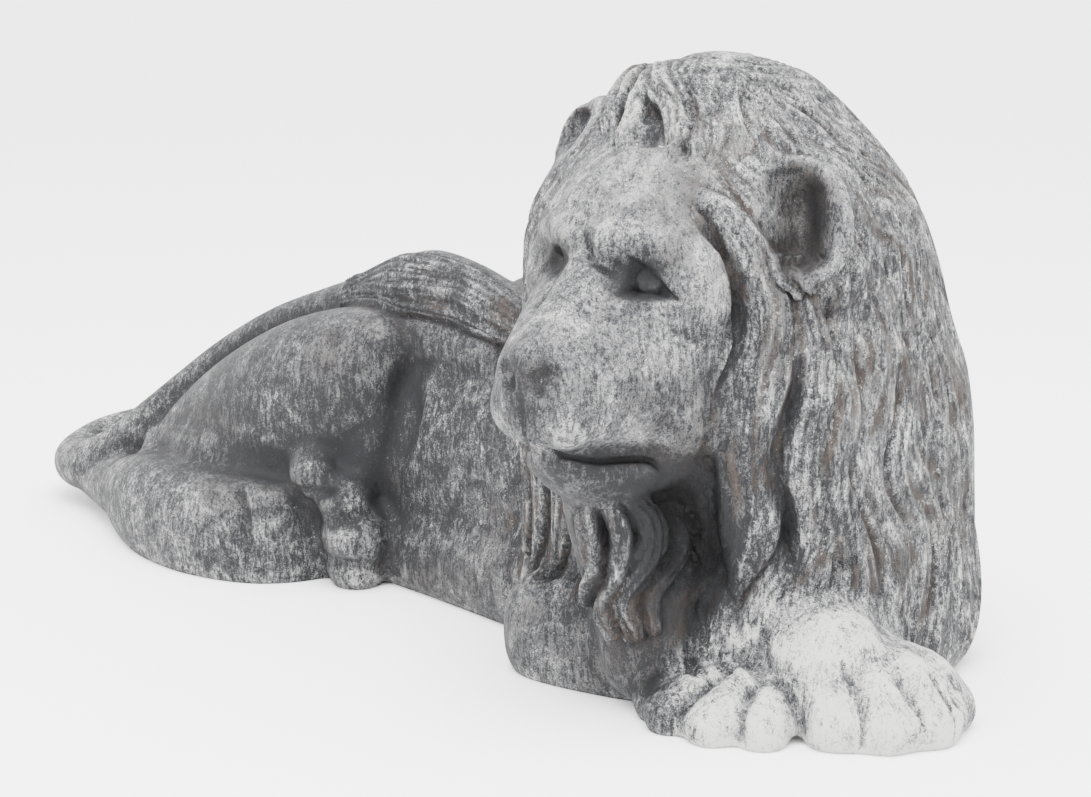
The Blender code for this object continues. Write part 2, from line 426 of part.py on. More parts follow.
def lay_body(clay):
    """The barrel of the body from rump to shoulders, and the mane as one great bell."""
    add_loft(clay, TRUNK, ALONG, UP, square=2.15, rings=40)
    add_loft(clay, BELLY, ALONG, UP, square=2.6)
    add_loft(clay, NECK, ALONG, UP)
    add_ball(clay, (-0.37, 0.13, 0.075), (0.19, 0.095, 0.095))       # far hip
    add_ball(clay, (0.10, 0.12, 0.17), (0.14, 0.10, 0.16))           # far shoulder
    add_loft(clay, MANE, ACROSS, ALONG, rings=60, sides=64)


def lay_hind_legs(clay):
    """The thigh with its knee up, the near foot flat on its side, and the other paw's stacked toes."""
    add_loft(clay, THIGH, ALONG, (0.25, 0, 1), square=2.3, rings=30)
    add_roll(clay, SHIN)
    add_roll(clay, HOCK)
    add_loft(clay, HIND_FOOT, (0.25, 1, 0), UP, square=2.6, rings=30)
    for x, y, z, r in HIND_TOES:
        add_roll(clay, [(x - 0.05, y + 0.05, z*0.95, r*0.9), (x - 0.01, y + 0.01, z, r),
                        (x + 0.005, y - 0.006, z - 0.002, r*0.92)], 8)
    add_ball(clay, HIND_PAW, HIND_PAW_SIZE)


def on_paw(forward, across, height):
    """A place on the upper forepaw, forward from its wrist and across it."""
    c, s = cos(radians(PAW_AIM)), sin(radians(PAW_AIM))
    return (PAW_ROOT[0] + c*forward - s*across, PAW_ROOT[1] + s*forward + c*across, height)


def lay_forelegs(clay):
    """The near foreleg and its paw, which lies over the other paw."""
    add_loft(clay, FORELEG, ALONG, UP, square=2.5, rings=26)
    side = (-sin(radians(PAW_AIM)), cos(radians(PAW_AIM)), 0)
    add_loft(clay, [on_paw(*row[:3]) + row[3:] for row in PAW], side, UP, square=2.3, rings=20)
    add_ball(clay, PAW_BACK, PAW_BACK_SIZE)
    wx, wy = PAW_ROOT
    for x, y, r in PAW_TOES:
        add_roll(clay, [(0.55*x + 0.45*wx, 0.55*y + 0.45*wy, 0.056, r*0.85),
                        (0.82*x + 0.18*wx, 0.82*y + 0.18*wy, 0.044, r), (x, y, 0.018, r*1.03)], 12)
    for (ax, ay, _), (bx, by, _) in zip(PAW_TOES, PAW_TOES[1:]):
        add_ball(clay, ((ax + bx)/2 + 0.002, (ay + by)/2 - 0.002, 0.018), (0.029, 0.029, 0.030))
        add_ball(clay, ((ax + bx)/2 - 0.022, (ay + by)/2 + 0.008, 0.040), (0.034, 0.034, 0.031))
    for (x0, y0), (x1, y1), r in LOWER_TOES:
        add_roll(clay, [(x0, y0 + 0.03, 0.035, r*0.9), (x0, y0, 0.034, r*0.95),
                        ((x0 + x1)/2, (y0 + y1)/2, 0.030, r), (x1, y1, 0.014, r*0.98)], 12)
    add_roll(clay, LOWER_LEG)


def lay_tail(clay):
    """The tail and the mass of the tuft at its end."""
    add_roll(clay, TAIL, 90)
    add_roll(clay, TAIL_ON_GROUND)
    add_roll(clay, UNDER_TUFT)
    add_loft(clay, TUFT, (0, 0.86, 0.5), (0, -0.5, 0.86))


def lay_head(clay):
    """Skull, face, nose and jaw, with the ears' masses."""
    add_ball(clay, (0, 0.125, 0.020), (0.112, 0.130, 0.115), pose=HEAD)
    add_ball(clay, (0, 0.052, 0.034), (0.074, 0.060, 0.052), (-40, 0, 0), square=2.3, pose=HEAD)
    add_loft(clay, FACE, ACROSS, UP, square=2.25, rings=34, pose=HEAD)
    add_loft(clay, BRIDGE, ACROSS, (0, -0.64, 0.77), square=2.6, rings=20, pose=HEAD)
    add_loft(clay, JAW, ACROSS, UP, square=2.2, rings=18, pose=HEAD)
    add_ball(clay, (0, -0.083, -0.060), (0.026, 0.023, 0.017), (35, 0, 0), square=2.4, pose=HEAD)
    add_ball(clay, (0, -0.092, -0.078), (0.015, 0.016, 0.022), pose=HEAD)
    for s in (-1, 1):
        add_ball(clay, (s*0.024, -0.078, -0.069), (0.012, 0.017, 0.013), pose=HEAD)             # nostril
        add_ball(clay, (s*0.026, -0.072, -0.110), (0.030, 0.032, 0.036), pose=HEAD)             # muzzle
        add_ball(clay, (s*0.074, 0.052, -0.014), (0.040, 0.045, 0.056), pose=HEAD)              # cheekbone
        add_ball(clay, (s*0.066, 0.046, -0.112), (0.044, 0.052, 0.062), pose=HEAD)              # jowl
        add_ball(clay, (s*0.026, 0.032, 0.050), (0.032, 0.034, 0.026), (-40, 0, 0), pose=HEAD)  # forehead
        add_roll(clay, [(s*x, y, z, r) for x, y, z, r in BROW], 16, pose=HEAD)
    add_ball(clay, (0.137, 0.138, 0.044), (0.043, 0.036, 0.060), (-8, 10, 25), pose=HEAD)       # near ear
    add_ball(clay, (0.130, 0.164, 0.022), (0.052, 0.055, 0.095), (0, 0, 25), pose=HEAD)         # behind it
    add_ball(clay, (-0.107, 0.122, 0.092), (0.033, 0.032, 0.052), (-8, -10, -25), pose=HEAD)    # far ear
    add_roll(clay, THROAT)
    add_roll(clay, CHEEK_MASS, 40)


def lay_ear_rims(clay):
    """A rim round each ear's hollow."""
    for (x, y, z), (wide, high), rim, s in (NEAR_EAR, FAR_EAR):
        arc = [radians(45*k - 90) for k in range(9)]
        ring = [(wide*cos(a), high*sin(a)) for a in arc]
        path = [(x + s*(c - EAR_LEAN*h), y + 0.6*c + EAR_LEAN*h, z + h, rim) for c, h in ring]
        add_roll(clay, path, 40, pose=HEAD)


def shoulder_locks():
    """The locks on the far side of the chest."""
    return [([(x0, y - 0.01, z, 0.024), (0.6*x0 + 0.4*x1, y, z*0.75, 0.034),
              (0.2*x0 + 0.8*x1, y, z*0.55, 0.030), (x1, y, 0.100, 0.016)], 0.010, 2)
            for x0, x1, y, z in SHOULDER_LOCKS]


def tuft_locks():
    """The locks of the tail's tuft, side by side along the back."""
    locks = []
    for k in range(TUFT_LOCKS):
        o = (k - 1.4)*TUFT_SPREAD
        locks.append(([(-0.31, -0.070, 0.311 + o*0.2, 0.016), (-0.24, -0.080, 0.331 + o*0.8, 0.024),
                       (-0.17, -0.088, 0.345 + o*0.8, 0.026), (-0.10, -0.090, 0.345 + o*0.8, 0.026),
                       (-0.04, -0.095, 0.330 + o*0.7, 0.022), (0.02, -0.105, 0.318 + o*0.5, 0.014)],
                      0.009, 2))
    return locks


def comb_hair(mesh, ground):
    """Combs the mane, lays every lock over it and raises the skin by the relief that they make."""
    points, out = skin_arrays(mesh)
    relief = comb_mane(points)
    for locks, pose in ((tuft_locks() + shoulder_locks(), Matrix()), (FORELOCK, HEAD),
                        (BEARD_LOCKS + CHEEK_LOCKS, Matrix())):
        for path, rise, strands in locks:
            raise_lock(points, out, relief, ground, path, rise, strands, pose)
    for creases, pose in ((HAIR_CREASES, Matrix()), (QUIFF_CREASES, HEAD)):
        for path, width, depth in creases:
            sink(points, relief, [pose @ Vector(place) for place in path], width, depth)
    set_points(mesh, points + relief[:, None]*out)


def press_ears(mesh):
    """The ears' hollows, the near one in two steps."""
    (x, y, z), *_ = NEAR_EAR
    into = (-0.50, 0.86, 0)
    press(mesh, [(x - 0.008, y - 0.002, z + 0.024), (x - 0.004, y - 0.010, z), (x, y - 0.014, z - 0.034)],
          0.037, 0.020, into, HEAD)
    press(mesh, [(x - 0.004, y + 0.006, z + 0.020), (x, y + 0.002, z), (x, y - 0.004, z - 0.022)],
          0.029, 0.026, into, HEAD)
    (x, y, z), *_ = FAR_EAR
    into = (0.1, 1, 0)
    press(mesh, [(x - 0.010, y - 0.018, z + 0.020), (x - 0.012, y - 0.018, z)], 0.022, 0.020, into, HEAD)


def cut_eye(mesh, eye, s):
    """A three-cornered socket under the brow with the eyeball in it, on the side s of the face, 1 or -1."""
    points, _ = skin_arrays(mesh)
    x, y, z = ((points - np.array(HEAD.translation)) @ np.array(HEAD.to_3x3())).T
    (ax, az), (bx, bz), (cx, cz), lift = eye
    x, z = x*s, z - lift
    below_brow = ((cx - ax)*(az - z) - (az - cz)*(x - ax))/np.hypot(cx - ax, az - cz)
    above_lid = z - bz - (cz - bz)*(x - bx)/(cx - bx)
    front = soft_step((0.050 - y)/0.01)
    inside = soft_step(below_brow/0.005 + 0.5)*soft_step(above_lid/0.005 + 0.5)
    inside *= soft_step((x - bx)/0.006 + 0.5)
    ball = np.hypot(x - EYEBALL[0], z - EYEBALL[1])/EYEBALL_RADIUS
    floor = EYE_DEPTH + 0.15*(x - bx) - 0.010*np.sqrt(np.clip(1 - ball**2, 0, 1))
    ridge = 0.006*np.exp(-((below_brow + 0.005)/0.0055)**2)*soft_step((x - ax + 0.006)/0.012)
    ridge *= soft_step((cx + 0.010 - x)/0.02)
    move = (inside*np.maximum(floor - y, 0) - ridge)*front
    set_points(mesh, points + move[:, None]*np.array(HEAD.to_3x3() @ Vector(ALONG)))


def press_face(mesh):
    """Eyes under the brows, nostrils, the line of the mouth, the frown and the nose's far edge."""
    for eye, s in ((FAR_EYE, -1), (NEAR_EYE, 1)):
        cut_eye(mesh, eye, s)
        mouth = [(s*x, y, z) for x, y, z in MOUTH]
        press(mesh, [(x, y, z - 0.013) for x, y, z in mouth[1:]], 0.014, 0.006, None, HEAD, taper=0.2)
        press(mesh, mouth, 0.010, -0.012, None, HEAD, taper=0.08)
        press(mesh, [(s*x, y, z) for x, y, z in NOSTRIL], 0.012, -0.009, None, HEAD, taper=0.15)
    press(mesh, [(0, -0.112, -0.088), (0, -0.106, -0.132)], 0.009, -0.008, None, HEAD)
    press(mesh, BRIDGE_EDGE, 0.010, -0.007, None, HEAD, taper=0.25)
    press(mesh, FROWN, 0.016, -0.008, None, HEAD, taper=0.3)
    press(mesh, BROW_FOLD, 0.009, -0.007, None, HEAD, taper=0.25)


def press_paws(mesh):
    """The folds under and beside the thigh and the creases between the toes."""
    press(mesh, UNDER_THIGH, 0.024, -0.012, taper=0.15)
    press(mesh, BESIDE_THIGH, 0.026, -0.012, taper=0.3)
    for crease in HIND_FOOT_CREASES + BETWEEN_HIND_TOES:
        press(mesh, crease, 0.013, -0.009, taper=0.2)
    for crease in PAW_CREASES + LOWER_CREASES:
        press(mesh, crease, 0.013, -0.009, taper=0.2)
    press(mesh, BETWEEN_PAWS, 0.014, -0.014, taper=0.2)


def make_lead():
    """The weathered lead's material."""
    lead = bpy.data.materials.new("weathered lead")
    lead.use_nodes = True
    shader = lead.node_tree.nodes["Principled BSDF"]
    shader.inputs["Base Color"].default_value = (*LEAD["colour"], 1)
    shader.inputs["Roughness"].default_value = LEAD["roughness"]
    shader.inputs["Metallic"].default_value = LEAD["metallic"]
    return lead


def finished_solid(mesh, cutters):
    """Thins the skin, cuts its underside flat at z = 0 and puts the origin below the middle of the box."""
    lion = bpy.data.objects.new(NAME, mesh)
    bpy.context.scene.collection.objects.link(lion)
    points, _ = skin_arrays(mesh)
    x, y, z = ((points - np.array(HEAD.translation)) @ np.array(HEAD.to_3x3())).T
    head = soft_step(4*(1.25 - np.sqrt((x/0.17)**2 + ((y - 0.02)/0.15)**2 + ((z + 0.04)/0.19)**2)))
    spare = lion.vertex_groups.new(name="what can be thinned")
    for level in range(1, 11):
        chosen = np.flatnonzero(np.round(10 - 9*head).astype(int) == level)
        spare.add(chosen.tolist(), level/10, "REPLACE")
    thin = lion.modifiers.new("thin", "DECIMATE")
    thin.ratio = TRIANGLES/(2*len(mesh.polygons))
    thin.vertex_group = spare.name
    thin.vertex_group_factor = HEAD_CARE

    bpy.ops.mesh.primitive_cube_add(size=2, location=(0, 0, -1))
    floor = bpy.context.object
    floor.name = "floor cutter"
    floor.hide_render = True
    floor.display_type = "WIRE"
    for collection in list(floor.users_collection):
        collection.objects.unlink(floor)
    cutters.objects.link(floor)
    flat = lion.modifiers.new("flat underside", "BOOLEAN")
    flat.operation = "DIFFERENCE"
    flat.object = floor
    bpy.context.view_layer.update()
    solid = bpy.data.meshes.new_from_object(lion.evaluated_get(bpy.context.evaluated_depsgraph_get()))
    bpy.data.objects.remove(lion)

    points, _ = skin_arrays(solid)
    middle = (points.min(0) + points.max(0))/2
    set_points(solid, points - (middle[0], middle[1], 0))
    solid.name = NAME
    solid.materials.clear()
    solid.materials.append(make_lead())
    solid.shade_smooth()
    return bpy.data.objects.new(NAME, solid)


def main():
    """Builds the lion into its own collection."""
    for old in list(bpy.data.objects):
        bpy.data.objects.remove(old)
    parts = bpy.data.collections.new("reclining lion")
    cutters = bpy.data.collections.new("cutters")
    for collection in (parts, cutters):
        bpy.context.scene.collection.children.link(collection)

    clay = bmesh.new()
    lay_body(clay)
    rough = fuse(clay, ROUGH_GRAIN, 8)
    clay = bmesh.new()
    clay.from_mesh(rough)
    for lay in (lay_hind_legs, lay_forelegs, lay_tail, lay_head):
        lay(clay)
    form = fuse(clay, FORM_GRAIN, 4)
    press(form, BESIDE_BEARD, 0.045, 0.020, ALONG)

    ground = BVHTree.FromPolygons([v.co[:] for v in form.vertices], [p.vertices[:] for p in form.polygons])
    clay = bmesh.new()
    clay.from_mesh(form)
    lay_ear_rims(clay)
    carved = fuse(clay, CARVING_GRAIN, 3)
    comb_hair(carved, ground)
    press_ears(carved)
    press_face(carved)
    press_paws(carved)
    parts.objects.link(finished_solid(carved, cutters))


main()
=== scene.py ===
"""Dresses the reclining lion: one lead cast, carved finer than its solid, on a pale studio floor.

The lion is made as a sculptor makes one. Big forms are laid on and fused into one skin, limbs and head are
added and fused again, and then the hair is combed and the last lines are pressed in. The lion's forward is
+X, its left is +Y, and it turns its head towards -Y. Lengths are in metres and turns in degrees.
"""

from __future__ import annotations

import logging
from collections.abc import Sequence
from dataclasses import dataclass
from enum import Enum
from math import cos, pi, radians, sin

import bmesh
import bpy
import numpy as np
from mathutils import Euler, Matrix, Vector
from mathutils.bvhtree import BVHTree


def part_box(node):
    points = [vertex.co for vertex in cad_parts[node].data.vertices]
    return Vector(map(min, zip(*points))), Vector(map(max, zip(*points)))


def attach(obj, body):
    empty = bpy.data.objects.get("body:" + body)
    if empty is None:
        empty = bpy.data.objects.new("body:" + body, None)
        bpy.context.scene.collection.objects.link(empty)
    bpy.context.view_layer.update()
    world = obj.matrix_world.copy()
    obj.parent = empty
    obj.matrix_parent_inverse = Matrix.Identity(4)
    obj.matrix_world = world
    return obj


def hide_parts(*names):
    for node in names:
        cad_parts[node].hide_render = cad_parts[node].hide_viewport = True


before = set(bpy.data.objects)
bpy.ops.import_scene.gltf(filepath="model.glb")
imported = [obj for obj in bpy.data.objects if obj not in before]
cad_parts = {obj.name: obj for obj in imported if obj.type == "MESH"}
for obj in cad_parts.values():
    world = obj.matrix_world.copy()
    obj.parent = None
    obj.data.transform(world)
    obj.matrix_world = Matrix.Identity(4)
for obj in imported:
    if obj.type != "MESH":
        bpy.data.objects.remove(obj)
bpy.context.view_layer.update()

log = logging.getLogger("lion")
Place = tuple[float, float, float]
Path = Sequence[tuple[float, ...]]

ACROSS, ALONG, UP = (1.0, 0.0, 0.0), (0.0, 1.0, 0.0), (0.0, 0.0, 1.0)
HEAD_PLACE = (0.283, -0.300, 0.432)
HEAD = Matrix.Translation(HEAD_PLACE) @ Euler((0, 0, radians(3.0))).to_matrix().to_4x4()


class Grain(Enum):
    """How the clay is fused at each stage: the size of a voxel and how many times the skin is smoothed."""

    ROUGH = (0.012, 8)
    FORM = (0.006, 4)
    CARVING = (0.0033, 2)


def smooth_curve(points: Path, count: int) -> np.ndarray:
    """Places along one smooth curve through the points, with every further column carried along.

    Args:
        points: Rows of numbers, a place first.
        count: How many rows to return.

    Returns:
        An array of count rows.
    """
    p = np.array(points, float)
    p = np.vstack([2*p[0] - p[1], p, 2*p[-1] - p[-2]])
    t = np.linspace(0, len(p) - 3, count)
    i = np.minimum(t.astype(int), len(p) - 4)
    u = (t - i)[:, None]
    a, b, c, d = p[i], p[i+1], p[i+2], p[i+3]
    return 0.5*(2*b + (c - a)*u + (2*a - 5*b + 4*c - d)*u**2 + (3*b - a - 3*c + d)*u**3)


def soft_step(x: np.ndarray) -> np.ndarray:
    """Goes smoothly from 0 to 1 as x does.

    Args:
        x: Numbers, which may lie outside 0 to 1.

    Returns:
        An array of the same shape.
    """
    x = np.clip(x, 0, 1)
    return x*x*(3 - 2*x)


@dataclass(frozen=True)
class Ball:
    """An ellipsoid of clay, or a squarer form.

    Attributes:
        centre: Its middle.
        radii: Its half sizes.
        turn: How it is turned, in degrees.
        square: 2 for an ellipsoid, more for a squarer form.
    """

    centre: Place
    radii: Place
    turn: Place = (0, 0, 0)
    square: float = 2.0

    def on_side(self, side: int) -> Ball:
        """Gives the same ball on one side of the head: 1 for the near side, -1 for the far one."""
        x, y, z = self.centre
        return Ball((side*x, y, z), self.radii, self.turn, self.square)

    def away(self, points: np.ndarray) -> np.ndarray:
        """Measures how far points are from the middle, as a share of the radii."""
        return np.sqrt((((points - np.array(self.centre))/np.array(self.radii))**2).sum(1))


@dataclass(frozen=True)
class Mark:
    """A soft line on the skin, pressed in or raised.

    Attributes:
        path: The places that it runs through.
        width: How far it reaches to each side.
        height: Its height in the middle, negative where it is pressed in.
        way: The way the skin moves, or nothing for the skin's own outward direction.
        on_head: Whether the path and the way are in the head's own axes.
        taper: The share of the path at each end over which the mark fades.
    """

    path: Path
    width: float
    height: float
    way: Place | None = None
    on_head: bool = False
    taper: float = 0.0

    def placed(self) -> list[Place]:
        """Lists the path's places in the clay's axes."""
        return [tuple(HEAD @ Vector(place)) for place in self.path] if self.on_head else list(self.path)


class Clay:
    """Forms that are laid one on another and then fused into one skin."""

    def __init__(self, start: bpy.types.Mesh | None = None) -> None:
        """Starts the clay.

        Args:
            start: A skin that was fused before, or nothing.
        """
        self.whole = bmesh.new()
        if start is not None:
            self.whole.from_mesh(start)

    def add(self, bit: bmesh.types.BMesh, pose: Matrix | None = None) -> None:
        """Adds one finished form and frees it.

        Args:
            bit: The form.
            pose: Where the form goes, if it isn't in place.
        """
        if pose is not None:
            bmesh.ops.transform(bit, matrix=pose, verts=bit.verts)
        mesh = bpy.data.meshes.new("bit")
        bit.to_mesh(mesh)
        bit.free()
        self.whole.from_mesh(mesh)
        bpy.data.meshes.remove(mesh)

    def balls(self, balls: Sequence[Ball], pose: Matrix | None = None) -> None:
        """Lays on balls.

        Args:
            balls: The balls.
            pose: Where they go, if they aren't in place.
        """
        for ball in balls:
            bit = bmesh.new()
            bmesh.ops.create_icosphere(bit, subdivisions=4, radius=1)
            for v in bit.verts:
                v.co /= sum(abs(c)**ball.square for c in v.co)**(1/ball.square)
            spin = Euler([radians(a) for a in ball.turn])
            place = Matrix.LocRotScale(Vector(ball.centre), spin, Vector(ball.radii))
            bmesh.ops.transform(bit, matrix=place, verts=bit.verts)
            self.add(bit, pose)

    def roll(self, stations: Path, count: int = 18, pose: Matrix | None = None) -> None:
        """Lays on a roll: balls strung closely along a curve.

        Args:
            stations: Rows of x, y, z and radius.
            count: How many balls are strung.
            pose: Where the form goes, if it isn't in place.
        """
        bit = bmesh.new()
        for x, y, z, r in smooth_curve(stations, count):
            bmesh.ops.create_icosphere(bit, subdivisions=3, radius=r, matrix=Matrix.Translation((x, y, z)))
        self.add(bit, pose)

    def loft(self, stations: Path, across: Place, up: Place, square: float = 2.0, rings: int = 24,
             sides: int = 40, pose: Matrix | None = None) -> None:
        """Lays on a closed form through rounded sections.

        Args:
            stations: Rows of x, y, z, half width, half height and, if it changes, squareness.
            across: The direction of each section's width.
            up: The direction of its height.
            square: How square the sections are, where a row doesn't say.
            rings: How many sections are made in all.
            sides: How many points each has.
            pose: Where the form goes.
        """
        rows = [list(s) + [square]*(6 - len(s)) for s in stations]
        bit = bmesh.new()
        a, b = Vector(across), Vector(up)
        loops: list[list[bmesh.types.BMVert]] = []
        for x, y, z, half_width, half_height, n in smooth_curve(rows, rings):
            ring = bmesh.ops.create_circle(bit, segments=sides, radius=1)["verts"]
            for v in ring:
                c, s = v.co.x, v.co.y
                wide = abs(c)**(2/n)*max(half_width, 1e-4)*(1 if c > 0 else -1)
                high = abs(s)**(2/n)*max(half_height, 1e-4)*(1 if s > 0 else -1)
                v.co = Vector((x, y, z)) + a*wide + b*high
            loops.append(ring)
        rims = [list({e for v in ring for e in v.link_edges}) for ring in loops]
        for low, high in zip(rims, rims[1:]):
            bmesh.ops.bridge_loops(bit, edges=low + high)
        for ring in (loops[0], loops[-1]):
            bmesh.ops.contextual_create(bit, geom=ring)
        bmesh.ops.recalc_face_normals(bit, faces=bit.faces)
        self.add(bit, pose)

    def fuse(self, grain: Grain) -> bpy.types.Mesh:
        """Makes one skin of all the clay, which is then used up.

        Args:
            grain: How fine the skin is.

        Returns:
            The skin.
        """
        mesh = bpy.data.meshes.new("clay")
        self.whole.to_mesh(mesh)
        self.whole.free()
        body = bpy.data.objects.new("clay", mesh)
        bpy.context.scene.collection.objects.link(body)
        remesh = body.modifiers.new("one skin", "REMESH")
        remesh.mode = "VOXEL"
        smooth = body.modifiers.new("smooth", "SMOOTH")
        smooth.factor = 0.5
        remesh.voxel_size, smooth.iterations = grain.value
        skin = bpy.data.meshes.new_from_object(body.evaluated_get(bpy.context.evaluated_depsgraph_get()))
        bpy.data.objects.remove(body)
        bpy.data.meshes.remove(mesh)
        return skin


class Skin:
    """A fused surface that is pressed, raised and combed, with what it knows of its hair."""

    def __init__(self, mesh: bpy.types.Mesh) -> None:
        """Reads the mesh's points.

        Args:
            mesh: The mesh that is to be carved.
        """
        self.mesh = mesh
        count = len(mesh.vertices)
        self.points = np.empty((count, 3))
        self.hair = np.zeros(count)
        self.relief = np.zeros(count)
        self.strand = np.zeros((count, 3))
        self.load()

    def load(self) -> None:
        """Reads points and outward directions from the mesh."""
        count = len(self.mesh.vertices)
        flat, out = np.empty(count*3, np.float32), np.empty(count*3, np.float32)
        self.mesh.vertices.foreach_get("co", flat)
        self.mesh.vertex_normals.foreach_get("vector", out)
        self.points, self.out = flat.reshape(-1, 3).astype(float), out.reshape(-1, 3).astype(float)

    def settle(self) -> None:
        """Writes the points to the mesh and finds the outward directions afresh."""
        self.mesh.vertices.foreach_set("co", self.points.astype(np.float32).ravel())
        self.mesh.update()
        self.load()

    def lift(self) -> None:
        """Moves every point out by its relief."""
        self.points += self.relief[:, None]*self.out
        self.settle()

    def near(self, curve: np.ndarray, reach: float) -> tuple[np.ndarray, ...]:
        """Finds the points near a line and how they lie to it.

        Args:
            curve: The line's places.
            reach: How far from it counts.

        Returns:
            The points' numbers, their distances, how far along they are from 0 to 1, the nearest places and
            the line's directions there.
        """
        inside = ((self.points > curve.min(0) - reach) & (self.points < curve.max(0) + reach)).all(1)
        index = np.flatnonzero(inside)
        p = self.points[index]
        steps = np.diff(curve, axis=0)
        lengths = np.linalg.norm(steps, axis=1)
        before = np.concatenate([[0], np.cumsum(lengths)])
        best = np.full(len(p), np.inf)
        share, place, ahead = np.zeros(len(p)), np.zeros((len(p), 3)), np.zeros((len(p), 3))
        for a, step, length, start in zip(curve, steps, lengths, before):
            t = np.clip((p - a) @ step/max(length**2, 1e-12), 0, 1)
            foot = a + t[:, None]*step
            d = np.linalg.norm(p - foot, axis=1)
            closer = d < best
            best[closer], place[closer] = d[closer], foot[closer]
            share[closer] = (start + t[closer]*length)/max(before[-1], 1e-9)
            ahead[closer] = step/max(length, 1e-9)
        keep = best < reach
        return index[keep], best[keep], share[keep], place[keep], ahead[keep]

    def cut(self, creases: Sequence[Mark]) -> None:
        """Sinks creases into the relief, each fading over a fifth of its path at both ends.

        Args:
            creases: The creases.
        """
        for mark in creases:
            index, far, share, _, _ = self.near(smooth_curve(mark.placed(), 24), mark.width)
            fade = np.clip(np.minimum(share, 1 - share)*5, 0, 1)**0.7
            self.relief[index] += mark.height*(1 - (far/mark.width)**2)**2*fade

    def press(self, *marks: Mark) -> None:
        """Moves the points of the skin along marks, with soft edges.

        Args:
            *marks: The marks, in the order in which they are made.
        """
        for mark in marks:
            curve = smooth_curve(mark.path, 14) if len(mark.path) > 2 else np.array(mark.path, float)
            way = mark.way
            if mark.on_head:
                curve = np.array([HEAD @ Vector(p) for p in curve])
                way = way and HEAD.to_3x3() @ Vector(way)
            index, far, share, _, _ = self.near(curve, mark.width)
            lift = mark.height*(1 - (far/mark.width)**2)**2
            if mark.taper:
                lift *= np.clip(np.minimum(share, 1 - share)/mark.taper, 0, 1)**0.7
            self.points[index] += lift[:, None]*(self.out[index] if way is None else np.array(way, float))


@dataclass(frozen=True)
class Lock:
    """A lock of hair that lies on the skin.

    Attributes:
        path: Its places from root to tip, each with the lock's width; the skin's nearest places are used.
        rise: How far it stands proud.
        strands: How many strands it has side by side.
        on_head: Whether the path is in the head's own axes.
        groove: How deep the cuts between its strands are, as a share of the rise.
        fade: Over what length before its tip it sinks into what lies under it.
    """

    path: Path
    rise: float
    strands: int = 3
    on_head: bool = False
    groove: float = 0.30
    fade: float = 0.004

    def laid(self, ground: BVHTree) -> np.ndarray:
        """Lays the path on the smooth skin.

        Args:
            ground: The smooth skin.

        Returns:
            Rows of x, y, z and width.
        """
        pose = HEAD if self.on_head else Matrix()
        rows = smooth_curve(self.path, 40)
        rows[:, :3] = [ground.find_nearest(pose @ Vector(row[:3]))[0] for row in rows]
        for _ in range(3):
            rows[1:-1] = (rows[:-2] + 2*rows[1:-1] + rows[2:])/4
        return rows

    def carve(self, skin: Skin, ground: BVHTree) -> None:
        """Raises the lock over what is there, cuts its strands and sinks a fine line round it.

        Args:
            skin: What is carved.
            ground: The smooth skin that the path is laid on.
        """
        rows = self.laid(ground)
        curve = rows[:, :3]
        length = np.linalg.norm(np.diff(curve, axis=0), axis=1).sum()
        index, far, share, foot, ahead = skin.near(curve, rows[:, 3].max()*0.75)
        side = np.cross(ahead, skin.out[index])
        side /= np.maximum(np.linalg.norm(side, axis=1), 1e-9)[:, None]
        offset = skin.points[index] - foot
        aside = (offset*side).sum(1)
        past = np.abs((offset*ahead).sum(1))
        half = np.interp(share, np.linspace(0, 1, len(rows)), rows[:, 3])/2
        across = aside/half
        end = np.clip(1 - (past/half)**2, 0, 1)*soft_step(share*length/0.030 + 0.25)
        end *= soft_step((1 - share)*length/self.fade + 0.1)
        body = soft_step((1.04 - np.abs(across))/0.16)*end
        top = np.clip(1 - 0.9*across**2, 0, 1)**0.6
        drift = 0.10*np.sin(2*pi*share*2.2 + self.path[0][1]*40)*(1 - across**2)
        cut = (0.5 + 0.5*np.cos(pi*self.strands*(across + drift + 1)))**1.5
        height = self.rise*(top - self.groove*cut*np.clip(2.2 - 2*np.abs(across), 0, 1))
        valley = np.exp(-((np.abs(across) - 1.16)/0.15)**2)*end
        skin.relief[index] = skin.relief[index]*(1 - body) + height*body - 0.24*self.rise*valley
        held = index[body > 0.02]
        skin.hair[held] = np.maximum(skin.hair[held], body[body > 0.02])
        place = np.stack([aside, np.full(len(index), self.path[0][0]*3), share*length], 1)
        skin.strand[held] = place[body > 0.02]


